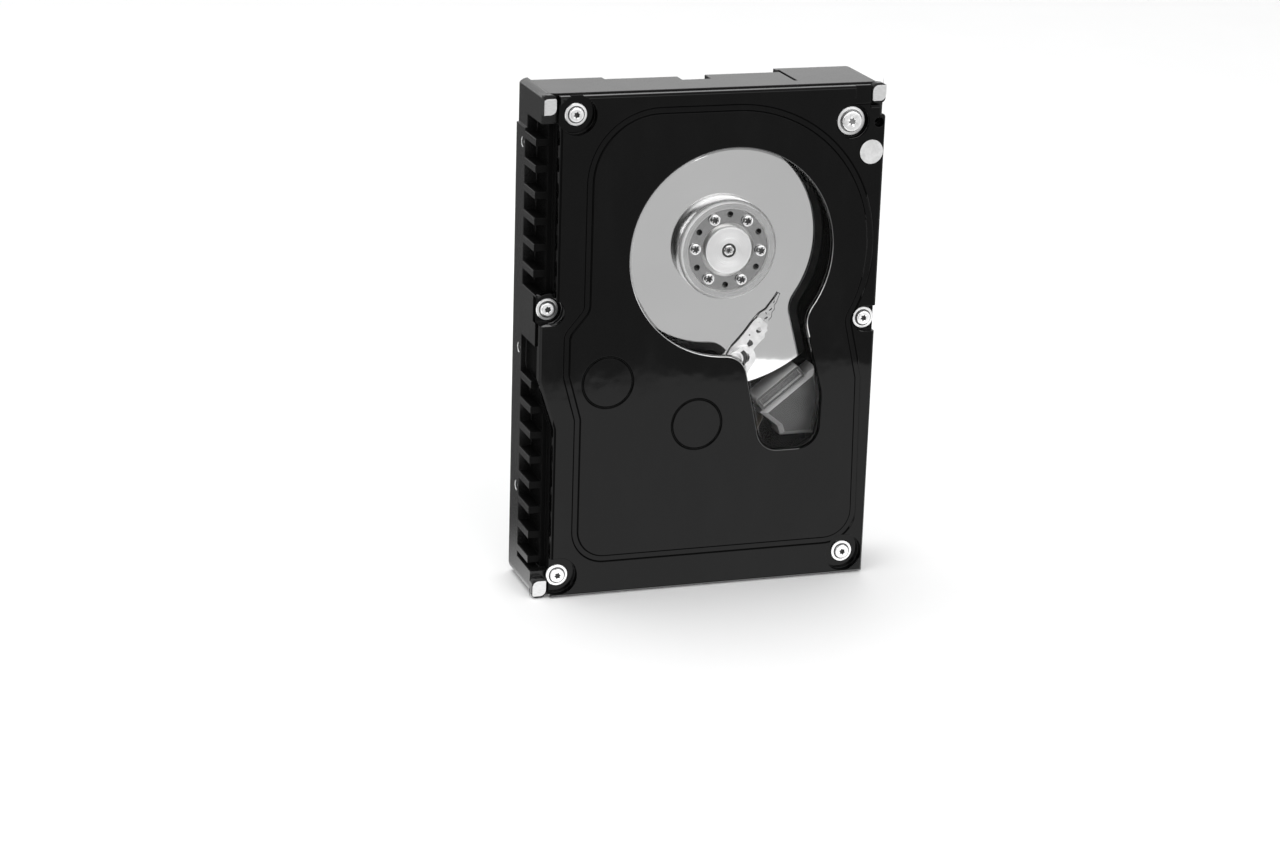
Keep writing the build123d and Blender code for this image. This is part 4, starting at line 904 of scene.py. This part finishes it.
beam_holes = [
    oval((12.95, -0.39), 1.2, 0.5, turn=-0.5),
    oval((14.2, 0.35), 0.7, 0.36, turn=0.7),
    oval((15.75, -0.3), 1.25, 0.42, turn=-0.35),
    oval((18.2, -0.05), 0.9, 0.26, turn=0.1),
]
# Painted shade: a dark sheet under the base plate, so that its holes show dark.
hole_shade_outline = rounded([
    (-4.2, 3.0), (0.4, 4.0), (6.0, 2.7), (10.0, 2.0), (10.4, -1.6), (8.0, -2.2), (3.2, -1.3), (-4.2, -2.5),
], 0.4)
# Painted shade: a dark sheet under the load beam's slots.
slot_shade_outline = rounded([
    (12.1, 0.3), (14.3, 0.7), (15.6, 0.25), (19.0, 0.15), (18.9, -0.25), (15.4, -0.7), (12.2, -0.95),
], 0.2)
# The rails take the shadowed metal, a painted shade along the beam's edges.
left_rail = strip([
    (1.0, 4.62), (6.1, 3.42), (10.4, 2.82), (13.3, 2.2), (15.2, 1.05), (16.6, 0.85), (18.8, 0.5), (20.5, 0.3),
], 0.13)
right_rail = strip([
    (12.7, -1.42), (14.0, -1.72), (15.2, -1.1), (16.4, -1.32), (17.2, -0.64), (18.4, -0.78), (20.3, -0.42),
], 0.13)

# %% One suspension, four times
suspension_metals = ["suspension_steel", "socket_dark", "beam_bright"]
plain_steel, shadowed, bright_steel = range(3)
sheets = [
    # sheet, how far it lies outward of the level in millimetres, and its metal
    (cut_sheet([base_outline] + base_holes, 0.16), 0.08, plain_steel),
    (cut_sheet([hole_shade_outline], 0.05, 0.01), -0.03, shadowed),
    (cut_sheet([beam_outline] + beam_holes, 0.08, 0.01), -0.02, bright_steel),
    (cut_sheet([slot_shade_outline], 0.03, 0.005), -0.08, shadowed),
    (cut_sheet([left_rail], 0.28, 0.01), -0.02, shadowed),
    (cut_sheet([right_rail], 0.22, 0.01), -0.02, shadowed),
]
swage = Vector((13.05, 0.0, 66.83))
beam_turn = radians(60.8)
along_beam = Vector((cos(beam_turn), 0, sin(beam_turn)))
across_beam = Vector((-sin(beam_turn), 0, cos(beam_turn)))
suspension_work = bmesh.new()


def lay_sheet(sheet, level, metal):
    """Adds a sheet to the suspensions, parallel to the disks at a level, from the swage on."""
    copy = sheet.copy()
    to_frame = Matrix((along_beam, across_beam, Vector((0, -1, 0)))).transposed().to_4x4()
    copy.transform(Matrix.Scale(mm, 4) @ Matrix.Translation(swage + Vector((0, level, 0))) @ to_frame)
    first = len(suspension_work.faces)
    suspension_work.from_mesh(copy)
    suspension_work.faces.ensure_lookup_table()
    for face in suspension_work.faces[first:]:
        face.material_index = metal
    bpy.data.meshes.remove(copy)


for level, outward in ((-5.53, 1), (-3.77, -1), (-2.13, 1), (-0.37, -1)):
    for sheet, lift, metal in sheets:
        lay_sheet(sheet, level - outward * lift, metal)

# The boss of the topmost swage stands on the arm, with a thin dark sheet at its side as a painted
# shadow in the gap.
boss_x, boss_y = -1.6, 2.2
arm_corners = [vert.co / mm for vert in frame["nodes"]["arm_block"].data.vertices]
arm_top = min(corner.y for corner in arm_corners if hypot(corner.x - swage.x, corner.z - swage.z) < 3.5)
gap_shadow = crescent((-1.08, 1.74, 2.95), (boss_x, boss_y, 2.4), -135, -5)
lay_sheet(cut_sheet([gap_shadow], 0.03, 0.005), arm_top - 0.02, shadowed)
boss = bright((2.3, -0.02), (2.32, 0.08), (2.2, 0.14), (1.75, 0.14), (1.6, 0.06), (0.7, 0.03))
boss_place = swage + boss_x * along_beam + boss_y * across_beam + Vector((0, arm_top, 0))
turn_rings(suspension_work, boss, boss_place, -1, count=40)
print("arm top at y =", round(arm_top, 2))

suspension_set = to_piece("suspension_set", suspension_work, suspension_metals)
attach(suspension_set, "actuator")
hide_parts("suspensions")
print("suspensions:", len(suspension_set.data.polygons), "faces")

# %% [markdown]
# ## Flex cable
#
# The signals leave the moving arm through a printed ribbon that hangs in a loose loop, so that the
# arm can turn.  It is a thin strip swept along a smooth line, wide across the disks and a fraction
# of a millimetre thick.  Here it keeps one fixed shape and does not move with the arm.

# %% Ribbon
cable_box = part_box("flex_cable")
cable_route = [(1.37, 41.59), (2.6, 38.6), (5.0, 36.75), (9.5, 36.35), (14.0, 36.9), (17.0, 42.2), (19.7, 48.5)]
film_half = 0.07
# The rounded outline of the ribbon's end: shares of its height, and of half the film's thickness.
one_face = [(0, 1), (0.02, 1.3), (0.5, 1.3), (0.98, 1.3), (1, 1)]
end_outline = one_face + [(share, -offset) for share, offset in one_face[::-1]]


def smooth_line(points, steps=9):
    """Points along a smooth line through the given ones."""
    points = [Vector(point) for point in points]
    ends = [2 * points[0] - points[1]] + points + [2 * points[-1] - points[-2]]
    line = []
    for before, start, end, after in zip(ends, ends[1:], ends[2:], ends[3:]):
        for step in range(steps):
            t = step / steps
            bend = 2 * before - 5 * start + 4 * end - after
            twist = 3 * start - before - 3 * end + after
            line.append(0.5 * (2 * start + (end - before) * t + bend * t * t + twist * t ** 3))
    return line + [points[-1]]


ribbon_line = smooth_line(cable_route)
ribbon_low, ribbon_high = cable_box[0][1], cable_box[1][1]
ribbon_work = bmesh.new()
rows = []
for index, point in enumerate(ribbon_line):
    run = (ribbon_line[min(index + 1, len(ribbon_line) - 1)] - ribbon_line[max(index - 1, 0)]).normalized()
    side = Vector((-run.y, run.x)) * film_half
    row = []
    for share, offset in end_outline:
        across = point + side * offset
        depth = ribbon_low + (ribbon_high - ribbon_low) * share
        row.append(ribbon_work.verts.new((across.x * mm, depth, across.y * mm)))
    rows.append(row)
for lower, upper in zip(rows, rows[1:]):
    for step in range(len(lower)):
        after = (step + 1) % len(lower)
        ribbon_work.faces.new((lower[step], lower[after], upper[after], upper[step]))
ribbon_work.faces.new(rows[0])
ribbon_work.faces.new(rows[-1][::-1])
ribbon = to_piece("flex_ribbon", ribbon_work, ["flex_amber"], sharp=50)
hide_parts("flex_cable")
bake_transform(ribbon)
print("ribbon:", round(sum((b - a).length for a, b in zip(ribbon_line, ribbon_line[1:])), 1), "mm long")

# %% [markdown]
# ## Table and room
#
# The drive stands on a plain pale table in a white room.  Mirrors show what is in front of them,
# and in front of this drive the white table ends and a dimmer part of the room begins.  So the
# table carries on for the camera but ends early in reflections.  That gives the disks their even
# grey, with white below, and gives the lacquer its darker upper half.

# %% Table
def plane(name, low, high, height):
    mesh = bpy.data.meshes.new(name)
    outline = [(low[0], low[1]), (high[0], low[1]), (high[0], high[1]), (low[0], high[1])]
    mesh.from_pydata([(x, y, height) for x, y in outline], [], [(0, 1, 2, 3)])
    piece = bpy.data.objects.new(name, mesh)
    bpy.context.scene.collection.objects.link(piece)
    return piece


table = plane("table", (-6, -6), (6, 6), 0.0)
table_end = -0.215
tint = Finish("table_white", Roughness=0.6)
mottle = tint.noise(0.02, detail=3.0)
tint.set(Base_Color=tint.mix(mottle, grey(0.90), grey(0.92)))
_, y, _ = tint.axes()
# In reflections the table is painted light: it glows at 1.4 in front of the drive and fades to a painted shade
# of 0.2 behind it.
glow_in_front = tint.add("ShaderNodeEmission", None, grey(1.4))
in_shade = tint.add("ShaderNodeEmission", None, grey(0.2))
lit = tint.blend(y.ramp(-20.0, 60.0), glow_in_front, in_shade)
ragged = 30.0 * (tint.noise(0.045, detail=4.0, roughness=0.6) - 0.5)
past_end = y + ragged < table_end / mm
reflected = tint.blend(past_end, lit, tint.add("ShaderNodeBsdfTransparent"))
mirrored = tint.fact("ShaderNodeLightPath", "Is Glossy Ray")
tint.show(tint.blend(mirrored, tint.own(), reflected))
tint.material.cycles.emission_sampling = "NONE"
table.data.materials.append(tint.material)
print("table ends in reflections at y =", table_end)

# %% Room
world = bpy.data.worlds.new("room")
bpy.context.scene.world = world
world.use_nodes = True


class Room(Finish):
    """The same node building for the world's tree."""

    def __init__(self, world):
        self.tree = world.node_tree
        self.shader = self.tree.nodes["Background"]
        self.output = self.tree.nodes["World Output"]


room = Room(world)
direction = room.add("ShaderNodeSeparateXYZ", None, room.add("ShaderNodeTexCoord", out=0)).socket.node
toward = [Value(room, socket) for socket in direction.outputs]


def zone(axis, inner, outer):
    """1 within one angle of a direction in the room, and 0 beyond another, in degrees."""
    axis = Vector(axis).normalized()
    near = toward[0] * axis.x + toward[1] * axis.y + toward[2] * axis.z
    return near.ramp(cos(radians(outer)), cos(radians(inner)))


tone = room.mix(toward[1].ramp(-0.35, 0.35), grey(0.52), grey(1.0))
for axis, inner, outer, brightness in (
    ((0.3, -0.8, 0.5), 18, 34, 2.4),
    ((0.9, -0.35, -0.2), 12, 30, 1.8),
    ((-0.9, -0.3, -0.3), 12, 26, 1.5),
    ((-0.32, -0.9, -0.15), 12, 26, 0.03),
    ((-0.35, -0.88, 0.32), 7, 15, 0.05),
):
    tone = room.mix(zone(axis, inner, outer), tone, grey(brightness))
seen = room.fact("ShaderNodeLightPath", "Is Camera Ray")
room.set(Color=room.mix(seen, tone, grey(1.0)), Strength=1.0)
print("room ready")

# %% Lamps
lamp_target = Vector((0, 0, 0.07))


def softbox(name, place, size, power):
    lamp = bpy.data.lights.new(name, "AREA")
    lamp.shape = "RECTANGLE"
    lamp.size, lamp.size_y = size
    lamp.energy = power
    holder = bpy.data.objects.new(name, lamp)
    holder.location = place
    holder.rotation_euler = (lamp_target - Vector(place)).to_track_quat("-Z", "Y").to_euler()
    bpy.context.scene.collection.objects.link(holder)


softbox("overhead", place=(-0.25, 0.1, 1.1), size=(0.9, 0.7), power=4.5)
softbox("left_front", place=(-0.8, -0.7, 0.6), size=(0.5, 0.7), power=2.5)
print("lamps ready")
